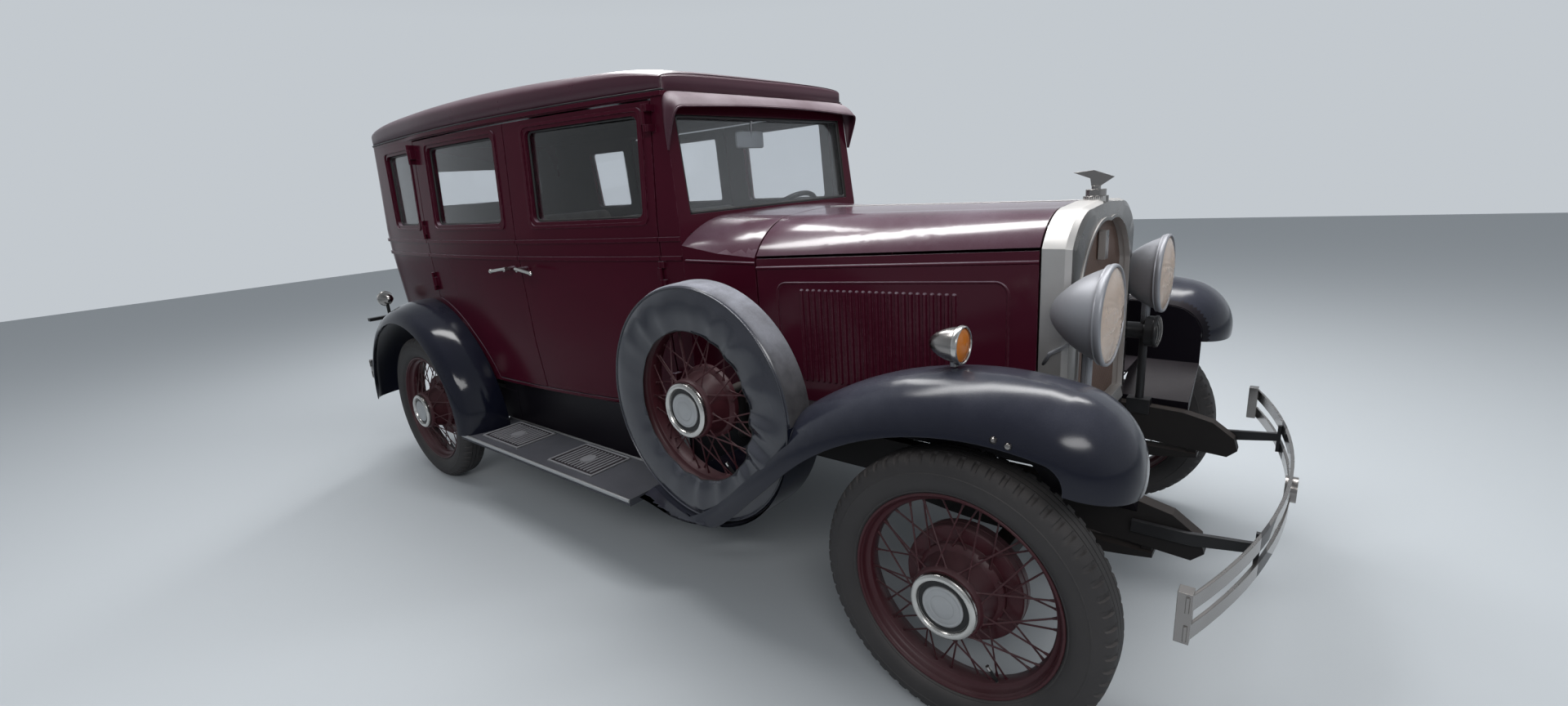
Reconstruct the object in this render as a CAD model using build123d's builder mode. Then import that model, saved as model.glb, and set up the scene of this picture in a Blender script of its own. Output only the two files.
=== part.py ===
from math import asin, atan2, cos, degrees, hypot, pi, radians, sin, sqrt
import os

from build123d import *

os.makedirs("parts", exist_ok=True)

# Driving sizes in mm. +X is forward, +Y is the car's left, +Z is up, the ground is Z = 0.
LENGTH = 4302.0
WHEELBASE = 2769.0
FRONT_OVERHANG = 612.0
TRACK_FRONT = 1422.0
TRACK_REAR = 1436.0
TYRE_R = 358.0
TYRE_W = 122.0
RIM_R = 262.0
WALL = 45.0
DOOR_GAP = 6.0
SHEET = 4.0
BODY_WIDE = 668.0
SILL_Z = 545.0
BELT_Z = 1108.0
SCREEN_Z = 1226.0
DRIP_Z = 1640.0
ROOF_Z = 1795.0
WINDOW_LOW = 1245.0
WINDOW_HIGH = 1575.0
BOARD_Z = 330.0
BOARD_OUT = 820.0
BOARD_IN = 581.0
BOARD_THICK = 24.0
FIT = 0.3
SHAFT_R = 19.6
FENDER_CROWN_Y = 690.0
FENDER_OUT_Y = 830.0
HOOD_FRONT_W = 325.0
HOOD_REAR_W = 440.0
HOOD_HINGE_Z = 1126.0
HOOD_TOP_Z = 1224.0
CORE_W = 262.0

# Stations along the car, from the front axle.
FX = LENGTH / 2 - FRONT_OVERHANG
RX = FX - WHEELBASE
SHELL_FRONT_X = FX + 125
SHELL_REAR_X = FX + 46
COWL_X = FX - 822
SCREEN_X = FX - 1063
A_SEAM_X = FX - 1150
B_SEAM_X = FX - 1885
C_SEAM_X = FX - 2660
BODY_WIDE_X = FX - 2200
CORNER_X = FX - 3140
BACK_X = FX - 3340
WHEEL_Z = TYRE_R
SPARE_X = FX - 790
SPARE_Y = 738.0
SPARE_Z = 712.0
COVER_R = TYRE_R + 6.0
SPARE_HALF = TYRE_W / 2 + 8.0


# Plan outline of the body at one height: inset moves the sides in, back the rear, front the screen.
def outline(z, inset, front=0.0, back=0.0):
    w0 = 528 - inset
    w1 = BODY_WIDE - inset
    w2 = 612 - inset
    x0 = SCREEN_X - front
    x3 = BACK_X + back
    corner = (CORNER_X - 145 + 0.7 * back, 555 - 0.7 * inset)
    with BuildSketch(Plane.XY.offset(z), mode=Mode.PRIVATE) as face:
        with BuildLine():
            Line((x0, -w0), (x0, w0))
            ThreePointArc((x0, w0), (BODY_WIDE_X, w1), (CORNER_X, w2))
            ThreePointArc((CORNER_X, w2), corner, (x3, 400 - 0.3 * inset))
            Line((x3, 400 - 0.3 * inset), (x3, -400 + 0.3 * inset))
            ThreePointArc((x3, -400 + 0.3 * inset), (corner[0], -corner[1]), (CORNER_X, -w2))
            ThreePointArc((CORNER_X, -w2), (BODY_WIDE_X, -w1), (x0, -w0))
        make_face()
    return face.sketch


# Body levels: z, side inset, screen lean, back lean.
LEVELS = [
    (SILL_Z, 34, 0, 40),
    (760, 12, 0, 8),
    (BELT_Z, 0, 0, 0),
    (SCREEN_Z, 0, 0, 4),
    (DRIP_Z, 20, 37, 72),
]


# The body's solid envelope, grown outwards by more than zero or shrunk by less.
def envelope(grow, low=0.0, high=0.0, open_front=0.0):
    faces = []
    for i, (z, inset, lean, rear) in enumerate(LEVELS):
        level = z
        if i == 0:
            level = z - low
        if i == len(LEVELS) - 1:
            level = z + high
        faces.append(outline(level, inset - grow, lean - grow - open_front, rear - grow))
    with BuildPart(mode=Mode.PRIVATE) as solid:
        loft(sections=faces, ruled=True)
    return solid.part


# A flat band round the body at one height, standing proud of it.
def band(z, height, proud, inset, lean, rear):
    with BuildPart(mode=Mode.PRIVATE) as ring:
        add(outline(z, inset - proud, lean, rear - proud))
        extrude(amount=height)
    return ring.part


# A prism seen from the side: points are x and z, it runs from y0 to y1.
def side_prism(points, y0, y1):
    with BuildPart(mode=Mode.PRIVATE) as prism:
        with BuildSketch(Plane.XZ.offset(-y0)):
            with BuildLine():
                Polyline(*points, close=True)
            make_face()
        extrude(amount=-(y1 - y0))
    return prism.part


# A bar with a square section between two points.
def bar(a, b, wide):
    start = Vector(*a)
    run = Vector(*b) - start
    with BuildPart(mode=Mode.PRIVATE) as rod:
        with BuildSketch(Plane(origin=start, z_dir=run)):
            Rectangle(wide, wide)
        extrude(amount=run.length)
    return rod.part


# A round rod between two points.
def rod(a, b, r):
    start = Vector(*a)
    run = Vector(*b) - start
    with BuildPart(mode=Mode.PRIVATE) as tube:
        with BuildSketch(Plane(origin=start, z_dir=run)):
            Circle(r)
        extrude(amount=run.length)
    return tube.part


def save(part, name):
    part.label = name
    export_step(part, "parts/" + name + ".step")


# Ladder frame: two rails with a kick-up over the rear axle and horns at the front.
RAIL_Y = 345.0
RAIL_HALF = 20.0
RAIL_TOP = SILL_Z - FIT
RAIL = [
    (RX - 560, 462), (RX - 560, RAIL_TOP), (FX - 900, RAIL_TOP), (FX - 300, 535),
    (FX + 100, 530), (FX + 300, 522), (FX + 385, 502), (FX + 445, 458), (FX + 456, 420), (FX + 430, 395),
    (FX + 200, 410),
    (FX - 400, 420), (RX + 420, 420), (RX + 260, 450), (RX + 150, 462),
]
# Cross members: x, half length along the car, low and high z.
CROSS = [
    (FX + 85, 34, 478, 560 - FIT),
    (FX - 600, 30, 460, 490 - FIT),
    (FX - 1500, 30, 475, 525),
    (RX + 480, 30, 475, 525),
    (RX + 250, 25, 480, 530),
    (RX - 530, 25, 480, 530),
]
OUTRIGGERS = [FX - 1250, FX - 1780, FX - 2250]
SPRING_END = 415.0
with BuildPart() as frame:
    for side in (-1, 1):
        add(side_prism(RAIL, side * RAIL_Y - RAIL_HALF, side * RAIL_Y + RAIL_HALF))
        rail_face = RAIL_Y + RAIL_HALF + FIT
        for x in OUTRIGGERS:
            with Locations((x, side * (rail_face + BOARD_IN - 8 - FIT) / 2, 455)):
                Box(40, BOARD_IN - 8 - FIT - rail_face, 30)
        with Locations((RX - SPRING_END, side * RAIL_Y, 442)):
            Box(36, 2 * RAIL_HALF, 40)
        for x in (RX - SPRING_END, RX + SPRING_END):
            add(rod((x, side * rail_face, 434), (x, side * (470 - 24 - FIT), 434), 9))
        add(rod((SPARE_X, side * rail_face, 500), (SPARE_X, side * 590, 560), 15))
        add(rod((SPARE_X, side * 590, 560), (SPARE_X, side * 590, SPARE_Z), 15))
        for z in (560, SPARE_Z):
            with Locations((SPARE_X, side * 590, z)):
                Sphere(20)
        add(rod((SPARE_X, side * 590, SPARE_Z), (SPARE_X, side * (SPARE_Y + 10), SPARE_Z), SHAFT_R))
    for x, half, low, high in CROSS:
        with Locations((x, 0, (low + high) / 2)):
            Box(2 * half, 2 * (RAIL_Y - RAIL_HALF - FIT), high - low)
save(frame.part, "frame")

# Front beam axle with an eye at each kingpin, rear axle with its housing, and the torque tube.
KING_Y = TRACK_FRONT / 2 - 110
KING_R = 12.0
with BuildPart() as axles:
    with Locations((FX, 0, 316)):
        Box(50, 2 * KING_Y - 130, 56)
    for side in (-1, 1):
        with Locations((FX, side * (KING_Y - 54), WHEEL_Z - 22)):
            Box(44, 52, 72)
        with Locations((FX, side * (KING_Y - 24), WHEEL_Z - 3)):
            Box(44, 32, 34)
        with BuildSketch(Plane.XY.offset(WHEEL_Z - 20)):
            with Locations((FX, side * KING_Y)):
                Circle(26)
        extrude(amount=40)
        with BuildSketch(Plane.XY.offset(WHEEL_Z - 60)):
            with Locations((FX, side * KING_Y)):
                Circle(KING_R + 0.4)
        extrude(amount=120, mode=Mode.SUBTRACT)
    with BuildSketch(Plane.XZ.offset(-(TRACK_REAR / 2 - 70))):
        with Locations((RX, WHEEL_Z)):
            Circle(38)
    extrude(amount=TRACK_REAR - 140)
    with BuildSketch(Plane.XZ.offset(-(TRACK_REAR / 2 + 20))):
        with Locations((RX, WHEEL_Z)):
            Circle(SHAFT_R)
    extrude(amount=TRACK_REAR + 40)
    for side in (-1, 1):
        plate_y = side * (TRACK_REAR / 2 - 76)
        add(rod((RX, plate_y, WHEEL_Z), (RX, plate_y + side * 6, WHEEL_Z), 141))
    with Locations((RX, 0, WHEEL_Z)):
        Sphere(120)
    with BuildPart(mode=Mode.PRIVATE) as torque_tube:
        add(rod((RX + 60, 0, WHEEL_Z), (FX - 1112, 0, 436), 30))
        with Locations((RX, 0, WHEEL_Z)):
            Sphere(120 + FIT, mode=Mode.SUBTRACT)
    add(torque_tube.part)
save(axles.part, "axles")

# Semi-elliptic springs under the rails.
SPRINGS = [
    (FX, 345.0, 350, 22, 344 + 24 + FIT),
    (RX, 470.0, 420, 26, WHEEL_Z + 38 + 24 + FIT),
]
with BuildPart() as springs:
    for x, y, half, thick, low in SPRINGS:
        for side in (-1, 1):
            with BuildSketch(Plane.XZ.offset(-(side * y - 24))):
                with BuildLine():
                    ThreePointArc((x - half, low + 8), (x, low - 24), (x + half, low + 8))
                    Line((x + half, low + 8), (x + half, low + 20))
                    ThreePointArc((x + half, low + 20), (x, low + thick), (x - half, low + 20))
                    Line((x - half, low + 20), (x - half, low + 8))
                make_face()
            extrude(amount=-48)
    for side in (-1, 1):
        for x in (FX - 335, FX + 335):
            with Locations((x, side * RAIL_Y, 405)):
                Box(24, 30, 50)
    add(frame.part, mode=Mode.SUBTRACT)
save(springs.part, "leaf_springs")

# Front view of the hood at one station: half width, hinge height, top height, foot height.
def hood_section(x, w, zh, zt, foot, inset):
    top = zt - inset
    side = w - inset
    sh = (w * 0.80 - inset * 0.7, zh + (zt - zh) * 0.66 - inset * 0.7)
    top_edge = (w * 0.48 - inset * 0.3, zh + (zt - zh) * 0.93 - inset)
    with BuildSketch(Plane.YZ.offset(x), mode=Mode.PRIVATE) as face:
        with BuildLine():
            Line((-side, foot), (side, foot))
            Line((side, foot), (side, zh - inset * 0.3))
            ThreePointArc((side, zh - inset * 0.3), sh, top_edge)
            ThreePointArc(top_edge, (0, top), (-top_edge[0], top_edge[1]))
            ThreePointArc((-top_edge[0], top_edge[1]), (-sh[0], sh[1]), (-side, zh - inset * 0.3))
            Line((-side, zh - inset * 0.3), (-side, foot))
        make_face()
    return face.sketch


HOOD_FOOT = 600.0
HOOD_REAR_X = COWL_X + 6
HOOD_FRONT_X = SHELL_REAR_X - 6


# The hood's envelope between two stations.
def hood_solid(x0, x1, inset, foot):
    span = SHELL_REAR_X - COWL_X
    faces = []
    for x in (x0, x1):
        t = (SHELL_REAR_X - x) / span
        w = HOOD_FRONT_W + t * (HOOD_REAR_W - HOOD_FRONT_W)
        zh = HOOD_HINGE_Z - 24 * t
        zt = HOOD_TOP_Z + 8 * t
        faces.append(hood_section(x, w, zh, zt, foot, inset))
    with BuildPart(mode=Mode.PRIVATE) as solid:
        loft(sections=faces, ruled=True)
    return solid.part


# The arched opening at the front of the radiator shell, grown or shrunk, from x for a length.
def opening_face(x, grow, length):
    w = CORE_W + grow
    with BuildPart(mode=Mode.PRIVATE) as arch:
        with BuildSketch(Plane.YZ.offset(x)):
            with BuildLine():
                Line((-w, 610 - grow), (w, 610 - grow))
                Line((w, 610 - grow), (w, 1030))
                ThreePointArc((w, 1030), (w * 0.62, 1146 + grow * 0.8), (0, 1172 + grow))
                ThreePointArc((0, 1172 + grow), (-w * 0.62, 1146 + grow * 0.8), (-w, 1030))
                Line((-w, 1030), (-w, 610 - grow))
            make_face()
        extrude(amount=length)
    return arch.part


CAP_X = FX + 84

# Radiator shell with an arched opening, a raised rim round it, the filler cap and the core inside.
with BuildPart() as shell:
    loft(sections=[
        hood_section(SHELL_REAR_X, HOOD_FRONT_W, HOOD_HINGE_Z, HOOD_TOP_Z, HOOD_FOOT - 40, -2),
        hood_section(SHELL_FRONT_X - 22, HOOD_FRONT_W, HOOD_HINGE_Z, HOOD_TOP_Z, HOOD_FOOT - 40, -2),
        hood_section(SHELL_FRONT_X - 7, HOOD_FRONT_W, HOOD_HINGE_Z, HOOD_TOP_Z, HOOD_FOOT - 40, 6),
        hood_section(SHELL_FRONT_X, HOOD_FRONT_W, HOOD_HINGE_Z, HOOD_TOP_Z, HOOD_FOOT - 40, 22),
    ], ruled=True)
    add(opening_face(SHELL_REAR_X - 5, 0, 120), mode=Mode.SUBTRACT)
    for low, high, r in ((HOOD_TOP_Z - 8, HOOD_TOP_Z + 12, 33), (HOOD_TOP_Z + 12, HOOD_TOP_Z + 30, 27)):
        add(rod((CAP_X, 0, low), (CAP_X, 0, high), r))
    add(rod((CAP_X, 0, HOOD_TOP_Z + 30), (CAP_X, 0, HOOD_TOP_Z + 40), 12))
    add(side_prism([
        (CAP_X + 10, HOOD_TOP_Z + 38), (CAP_X + 46, HOOD_TOP_Z + 62), (CAP_X - 8, HOOD_TOP_Z + 82),
        (CAP_X - 62, HOOD_TOP_Z + 78), (CAP_X - 16, HOOD_TOP_Z + 60), (CAP_X - 12, HOOD_TOP_Z + 38),
    ], -4, 4))
    add(opening_face(SHELL_FRONT_X - 12, 4, 16) - opening_face(SHELL_FRONT_X - 20, -5, 60))
    with Locations((SHELL_FRONT_X - 14, 0, 1100)):
        Box(20, 30, 80)
save(shell.part, "radiator_shell")

with BuildPart() as core:
    add(opening_face(SHELL_REAR_X + 18, -FIT, 34))
save(core.part, "radiator_core")

# Hood: two top panels on the centre hinge, two side panels with louvres on the edge hinges.
HOOD_SHEET = 6.0
with BuildPart(mode=Mode.PRIVATE) as hood_skin:
    add(hood_solid(HOOD_REAR_X, HOOD_FRONT_X, 0, HOOD_FOOT + 40))
    add(hood_solid(HOOD_REAR_X - 5, HOOD_FRONT_X + 5, HOOD_SHEET, HOOD_FOOT - 50), mode=Mode.SUBTRACT)
LOUVRES = 24
LOUVRE_PITCH = 21.0
LOUVRE_REAR = 707.0
LOUVRE_TOP = 1006.0
LOUVRE_LONG = 300.0


# The plane of one hood side: x runs rearward along the panel from the shell, y is up.
def hood_side_plane(side):
    run = Vector(COWL_X - SHELL_REAR_X, side * (HOOD_REAR_W - HOOD_FRONT_W), 0)
    out = run.cross(Vector(0, 0, 1)) * -side
    if out.Y * side < 0:
        out = out * -1
    return Plane(origin=(SHELL_REAR_X, side * HOOD_FRONT_W, 0), x_dir=run, z_dir=out)


for side, word in ((-1, "right"), (1, "left")):
    with BuildPart() as top_panel:
        add(hood_skin.part)
        add(side_prism([
            (HOOD_REAR_X - 9, HOOD_HINGE_Z - 20), (HOOD_FRONT_X + 9, HOOD_HINGE_Z + 4),
            (HOOD_FRONT_X + 9, 1400), (HOOD_REAR_X - 9, 1400),
        ], min(side * 3, side * 600), max(side * 3, side * 600)), mode=Mode.INTERSECT)
    save(top_panel.part, "hood_top_" + word)
with BuildPart() as side_panels:
    add(hood_skin.part)
    add(side_prism([
        (HOOD_REAR_X - 9, HOOD_HINGE_Z - 28), (HOOD_FRONT_X + 9, HOOD_HINGE_Z - 4),
        (HOOD_FRONT_X + 9, HOOD_FOOT), (HOOD_REAR_X - 9, HOOD_FOOT),
    ], -600, 600), mode=Mode.INTERSECT)
    ribs = []
    for side in (-1, 1):
        face = hood_side_plane(side)
        up = 1 if face.y_dir.Z > 0 else -1
        with BuildPart(mode=Mode.PRIVATE) as louvre:
            with BuildSketch(face):
                with Locations((LOUVRE_REAR, up * (LOUVRE_TOP - LOUVRE_LONG / 2))):
                    SlotOverall(LOUVRE_LONG, 15, rotation=90)
            extrude(amount=7, taper=32)
        step = face.x_dir * -LOUVRE_PITCH
        for i in range(LOUVRES):
            ribs.append(louvre.part.moved(Location(step * i)))
        with BuildPart(mode=Mode.PRIVATE) as emboss:
            with BuildLine(face) as track:
                FilletPolyline(
                    (LOUVRE_REAR + 90, up * 700), (LOUVRE_REAR + 90, up * 1022),
                    (80, up * 1040), (80, up * 700), radius=34,
                )
            with BuildSketch(Plane(origin=track.line @ 0, z_dir=track.line % 0)):
                Circle(3.5)
            sweep()
        ribs.append(emboss.part)
        ribs.append(rod(
            (HOOD_REAR_X, side * HOOD_REAR_W, HOOD_HINGE_Z - 57),
            (HOOD_FRONT_X, side * HOOD_FRONT_W, HOOD_HINGE_Z - 33), 5,
        ))
    add(ribs)
    add(rod((COWL_X + FIT, 0, HOOD_TOP_Z + 8), (SHELL_REAR_X - FIT, 0, HOOD_TOP_Z), 2.6))
save(side_panels.part, "hood_sides")

# Steering column from the firewall up to the wheel.
WHEEL_Y = 300.0
COLUMN_FOOT = (FX - 800, WHEEL_Y, 625.0)
COLUMN_TOP = (FX - 1290, WHEEL_Y, 1118.0)
COLUMN_R = 20.0
column_dir = (Vector(*COLUMN_TOP) - Vector(*COLUMN_FOOT)).normalized()
with BuildPart() as column:
    add(rod(COLUMN_FOOT, COLUMN_TOP, COLUMN_R))
save(column.part, "steering_column")

# Cowl between the hood and the windscreen, with the firewall at its front.
COWL_SECTIONS = [
    (COWL_X, HOOD_REAR_W, HOOD_HINGE_Z - 24, HOOD_TOP_Z + 8),
    (FX - 940, 488.0, 1120.0, 1236.0),
    (SCREEN_X + FIT, 528.0, 1150.0, 1240.0),
]
COWL_FOOT = SILL_Z + 20 + FIT
with BuildPart() as cowl:
    loft(sections=[hood_section(x, w, zh, zt, COWL_FOOT, 0) for x, w, zh, zt in COWL_SECTIONS], ruled=True)
    inner = [(FX - 842, 450.0, 1104.0, 1232.0), COWL_SECTIONS[1], (SCREEN_X - 10, 529.0, 1150.0, 1240.0)]
    loft(
        sections=[hood_section(x, w, zh, zt, COWL_FOOT - 10, 30) for x, w, zh, zt in inner],
        ruled=True,
        mode=Mode.SUBTRACT,
    )
    add(column.part, mode=Mode.SUBTRACT)
    for side in (-1, 1):
        beads = [(COWL_X, HOOD_REAR_W + 1, 1084), (FX - 940, 489.0, 1092), (SCREEN_X + 12, 526.0, 1099)]
        for a, b in zip(beads, beads[1:]):
            add(rod((a[0], side * a[1], a[2]), (b[0], side * b[1], b[2]), 5))
save(cowl.part, "cowl")

# Body shell: envelope with belt and drip mouldings, hollow, with windows, doors cut out.
with BuildPart(mode=Mode.PRIVATE) as skin:
    add(envelope(0))
    add(band(BELT_Z - 7, 14, 7, 0, 0, 0))
    add(band(BELT_Z + 57, 14, 7, 0, 0, 0))
    add(band(DRIP_Z - 14, 14, 10, 20, 37, 72))
    add(envelope(-WALL, low=20, high=20), mode=Mode.SUBTRACT)

ARCH_R = 562.0
arch_angle = asin((SILL_Z + 15 - WHEEL_Z) / ARCH_R)
arch_end = (RX + ARCH_R * cos(arch_angle), SILL_Z + 15)
seam_angle = asin((C_SEAM_X - RX) / ARCH_R)
arch_top = (C_SEAM_X, WHEEL_Z + ARCH_R * cos(seam_angle))
mid_angle = (pi / 2 - seam_angle + arch_angle) / 2
arch_mid = (RX + ARCH_R * cos(mid_angle), WHEEL_Z + ARCH_R * sin(mid_angle))
DOOR_TOP = DRIP_Z - 22


# Side view of the front door, shrunk by gap on every edge.
def front_door_prism(y0, y1, gap):
    points = [
        (A_SEAM_X - gap, SILL_Z + 15 + gap), (A_SEAM_X - gap, DOOR_TOP - gap),
        (B_SEAM_X + gap, DOOR_TOP - gap), (B_SEAM_X + gap, SILL_Z + 15 + gap),
    ]
    return side_prism(points, y0, y1)


# Side view of the rear door, whose lower rear corner follows the fender.
def rear_door_prism(y0, y1, gap):
    with BuildPart(mode=Mode.PRIVATE) as prism:
        with BuildSketch(Plane.XZ.offset(-y0)):
            with BuildLine():
                Line((B_SEAM_X - gap, SILL_Z + 15 + gap), (arch_end[0] + gap, SILL_Z + 15 + gap))
                ThreePointArc(
                    (arch_end[0] + gap, SILL_Z + 15 + gap),
                    (arch_mid[0] + gap * 0.7, arch_mid[1] + gap * 0.7),
                    (arch_top[0] + gap, arch_top[1] + gap),
                )
                Line((arch_top[0] + gap, arch_top[1] + gap), (C_SEAM_X + gap, DOOR_TOP - gap))
                Line((C_SEAM_X + gap, DOOR_TOP - gap), (B_SEAM_X - gap, DOOR_TOP - gap))
                Line((B_SEAM_X - gap, DOOR_TOP - gap), (B_SEAM_X - gap, SILL_Z + 15 + gap))
            make_face()
        extrude(amount=-(y1 - y0))
    return prism.part


# Side windows: x of the rear edge, x of the front edge.
FRONT_WINDOW = (FX - 1755, FX - 1208)
REAR_WINDOW = (FX - 2520, FX - 1965)
QUARTER_WINDOW = (FX - 2990, FX - 2735)


def window_prism(window, y0, y1, grow):
    with BuildPart(mode=Mode.PRIVATE) as prism:
        with BuildSketch(Plane.XZ.offset(-y0)):
            with Locations(((window[0] + window[1]) / 2, (WINDOW_LOW + WINDOW_HIGH) / 2)):
                RectangleRounded(
                    window[1] - window[0] + 2 * grow, WINDOW_HIGH - WINDOW_LOW + 2 * grow, 24
                )
        extrude(amount=-(y1 - y0))
    return prism.part


# Half width of the body's skin at the belt, from the arc that its plan follows.
def skin_y(x):
    x1, y1 = SCREEN_X, 528.0
    x2, y2 = BODY_WIDE_X, BODY_WIDE
    x3, y3 = CORNER_X, 612.0
    d = 2 * (x1 * (y2 - y3) + x2 * (y3 - y1) + x3 * (y1 - y2))
    s1 = x1 * x1 + y1 * y1
    s2 = x2 * x2 + y2 * y2
    s3 = x3 * x3 + y3 * y3
    cx = (s1 * (y2 - y3) + s2 * (y3 - y1) + s3 * (y1 - y2)) / d
    cy = (s1 * (x3 - x2) + s2 * (x1 - x3) + s3 * (x2 - x1)) / d
    return cy + sqrt((x1 - cx) ** 2 + (y1 - cy) ** 2 - (x - cx) ** 2)


# Hinges: their axis stands this far off the skin. Door, seam x, direction of the door, heights.
HINGE_OFF = 8.0
HINGE_R = 6.0
HINGES = [
    ("front", A_SEAM_X, -1, (660.0, 1056.0, 1560.0)),
    ("rear", C_SEAM_X, 1, (985.0, 1225.0, 1560.0)),
]


# One door's hinge knuckles: the door's own in the middle, the body's above and below.
def hinge_knuckles(side, seam, way, heights, on_door):
    y = side * (skin_y(seam) + HINGE_OFF)
    deep = 44.0
    parts = []
    for z in heights:
        spans = ((z - 20, z + 20),) if on_door else ((z - 42, z - 20 - FIT), (z + 20 + FIT, z + 42))
        toward = way if on_door else -way
        for low, high in spans:
            parts.append(rod((seam, y, low), (seam, y, high), HINGE_R))
            with BuildPart(mode=Mode.PRIVATE) as leaf:
                with Locations((seam + toward * 9, y - side * deep / 2, (low + high) / 2)):
                    Box(18, deep, high - low)
            parts.append(leaf.part)
    return parts


SIDES = ((-1, "right", -800.0, -300.0), (1, "left", 300.0, 800.0))


# A raised bead round one side window.
def window_bead(window, y0, y1):
    return bead_skin.part & (window_prism(window, y0, y1, 24) - window_prism(window, y0, y1, 13))


# A door handle: a boss on the skin and a lever that points away from the middle seam.
def handle(x, side, way):
    y = side * (skin_y(x) + 3)
    z = BELT_Z - 40
    with BuildPart(mode=Mode.PRIVATE) as lever:
        add(rod((x, y - side * 12, z), (x, y + side * 44, z), 9))
        add(rod((x - way * 12, y + side * 40, z + 4), (x + way * 104, y + side * 44, z - 10), 7))
        with Locations((x + way * 104, y + side * 44, z - 10)):
            Sphere(9)
    return lever.part


with BuildPart(mode=Mode.PRIVATE) as bead_skin:
    add(envelope(4.5))
    add(envelope(-10, low=20, high=20), mode=Mode.SUBTRACT)

# Windscreen and back window openings, half width and heights.
SCREEN = (470.0, SCREEN_Z + 20, 1568.0)
BACK_WINDOW = (385.0, 1325.0, 1510.0)
with BuildPart() as body:
    add(skin.part)
    for side, word, y0, y1 in SIDES:
        add(front_door_prism(y0, y1, -DOOR_GAP / 2), mode=Mode.SUBTRACT)
        add(rear_door_prism(y0, y1, -DOOR_GAP / 2), mode=Mode.SUBTRACT)
        add(window_prism(QUARTER_WINDOW, y0, y1, 0), mode=Mode.SUBTRACT)
        add(window_bead(QUARTER_WINDOW, y0, y1))
        for door, seam, way, heights in HINGES:
            add(hinge_knuckles(-1 if word == "right" else 1, seam, way, heights, False))
    with Locations((SCREEN_X - 20, 0, (SCREEN[1] + SCREEN[2]) / 2)):
        Box(160, 2 * SCREEN[0], SCREEN[2] - SCREEN[1], mode=Mode.SUBTRACT)
    with Locations((SCREEN_X - 20, 0, (SILL_Z - 30 + SCREEN_Z - 40) / 2)):
        Box(120, 2 * 482, SCREEN_Z - 40 - SILL_Z + 30, mode=Mode.SUBTRACT)
    with BuildSketch(Plane.YZ.offset(BACK_X - 40)):
        with Locations((0, (BACK_WINDOW[1] + BACK_WINDOW[2]) / 2)):
            RectangleRounded(2 * BACK_WINDOW[0], BACK_WINDOW[2] - BACK_WINDOW[1], 60)
    extrude(amount=240, mode=Mode.SUBTRACT)
save(body.part, "body_shell")

for side, word, y0, y1 in SIDES:
    with BuildPart() as front_door:
        add(skin.part)
        add(front_door_prism(y0, y1, DOOR_GAP / 2), mode=Mode.INTERSECT)
        add(window_prism(FRONT_WINDOW, y0, y1, 0), mode=Mode.SUBTRACT)
        add(window_bead(FRONT_WINDOW, y0, y1))
        add(handle(B_SEAM_X + 42, side, 1))
        add(hinge_knuckles(side, HINGES[0][1], HINGES[0][2], HINGES[0][3], True))
    save(front_door.part, "front_door_" + word)
    with BuildPart() as rear_door:
        add(skin.part)
        add(rear_door_prism(y0, y1, DOOR_GAP / 2), mode=Mode.INTERSECT)
        add(window_prism(REAR_WINDOW, y0, y1, 0), mode=Mode.SUBTRACT)
        add(window_bead(REAR_WINDOW, y0, y1))
        add(handle(B_SEAM_X - 42, side, -1))
        add(hinge_knuckles(side, HINGES[1][1], HINGES[1][2], HINGES[1][3], True))
    save(rear_door.part, "rear_door_" + word)

# Window glass, one thin sheet inside the wall thickness.
with BuildPart(mode=Mode.PRIVATE) as glass_skin:
    add(envelope(-20, high=0))
    add(envelope(-26, low=20, high=20), mode=Mode.SUBTRACT)
for side, word, y0, y1 in SIDES:
    for door, window in (("front", FRONT_WINDOW), ("rear", REAR_WINDOW)):
        with BuildPart() as pane:
            add(glass_skin.part)
            add(window_prism(window, y0, y1, -FIT), mode=Mode.INTERSECT)
        save(pane.part, door + "_glass_" + word)
with BuildPart() as fixed_glass:
    for side, word, y0, y1 in SIDES:
        add(glass_skin.part & window_prism(QUARTER_WINDOW, y0, y1, -FIT))
    with BuildPart(mode=Mode.PRIVATE) as screen_box:
        with Locations((SCREEN_X - 20, 0, (SCREEN[1] + SCREEN[2]) / 2)):
            Box(160, 2 * (SCREEN[0] - FIT), SCREEN[2] - SCREEN[1] - 2 * FIT)
    add(glass_skin.part & screen_box.part)
    with BuildPart(mode=Mode.PRIVATE) as back_box:
        with BuildSketch(Plane.YZ.offset(BACK_X - 40)):
            with Locations((0, (BACK_WINDOW[1] + BACK_WINDOW[2]) / 2)):
                RectangleRounded(2 * (BACK_WINDOW[0] - FIT), BACK_WINDOW[2] - BACK_WINDOW[1] - 2 * FIT, 60)
        extrude(amount=240)
    add(glass_skin.part & back_box.part)
save(fixed_glass.part, "body_glass")

# Roof: stations x, half width, side height above the drip line, crown height.
ROOF = [
    (FX - 1100, 500.0, 20.0, 1694.0),
    (FX - 1150, 517.0, 33.0, 1712.0),
    (FX - 1250, 548.0, 48.0, 1738.0),
    (FX - 1400, 585.0, 54.0, 1757.0),
    (FX - 1600, 615.0, 56.0, 1773.0),
    (FX - 1900, 637.0, 59.0, 1788.0),
    (FX - 2200, 648.0, 60.0, ROOF_Z),
    (FX - 2550, 645.0, 60.0, ROOF_Z),
    (FX - 2800, 630.0, 60.0, 1792.0),
    (FX - 2960, 611.0, 58.0, 1787.0),
    (FX - 3080, 588.0, 54.0, 1777.0),
    (FX - 3150, 555.0, 48.0, 1763.0),
    (FX - 3200, 508.0, 40.0, 1744.0),
    (FX - 3240, 430.0, 27.0, 1715.0),
    (FX - 3264, 335.0, 12.0, 1682.0),
]


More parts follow.
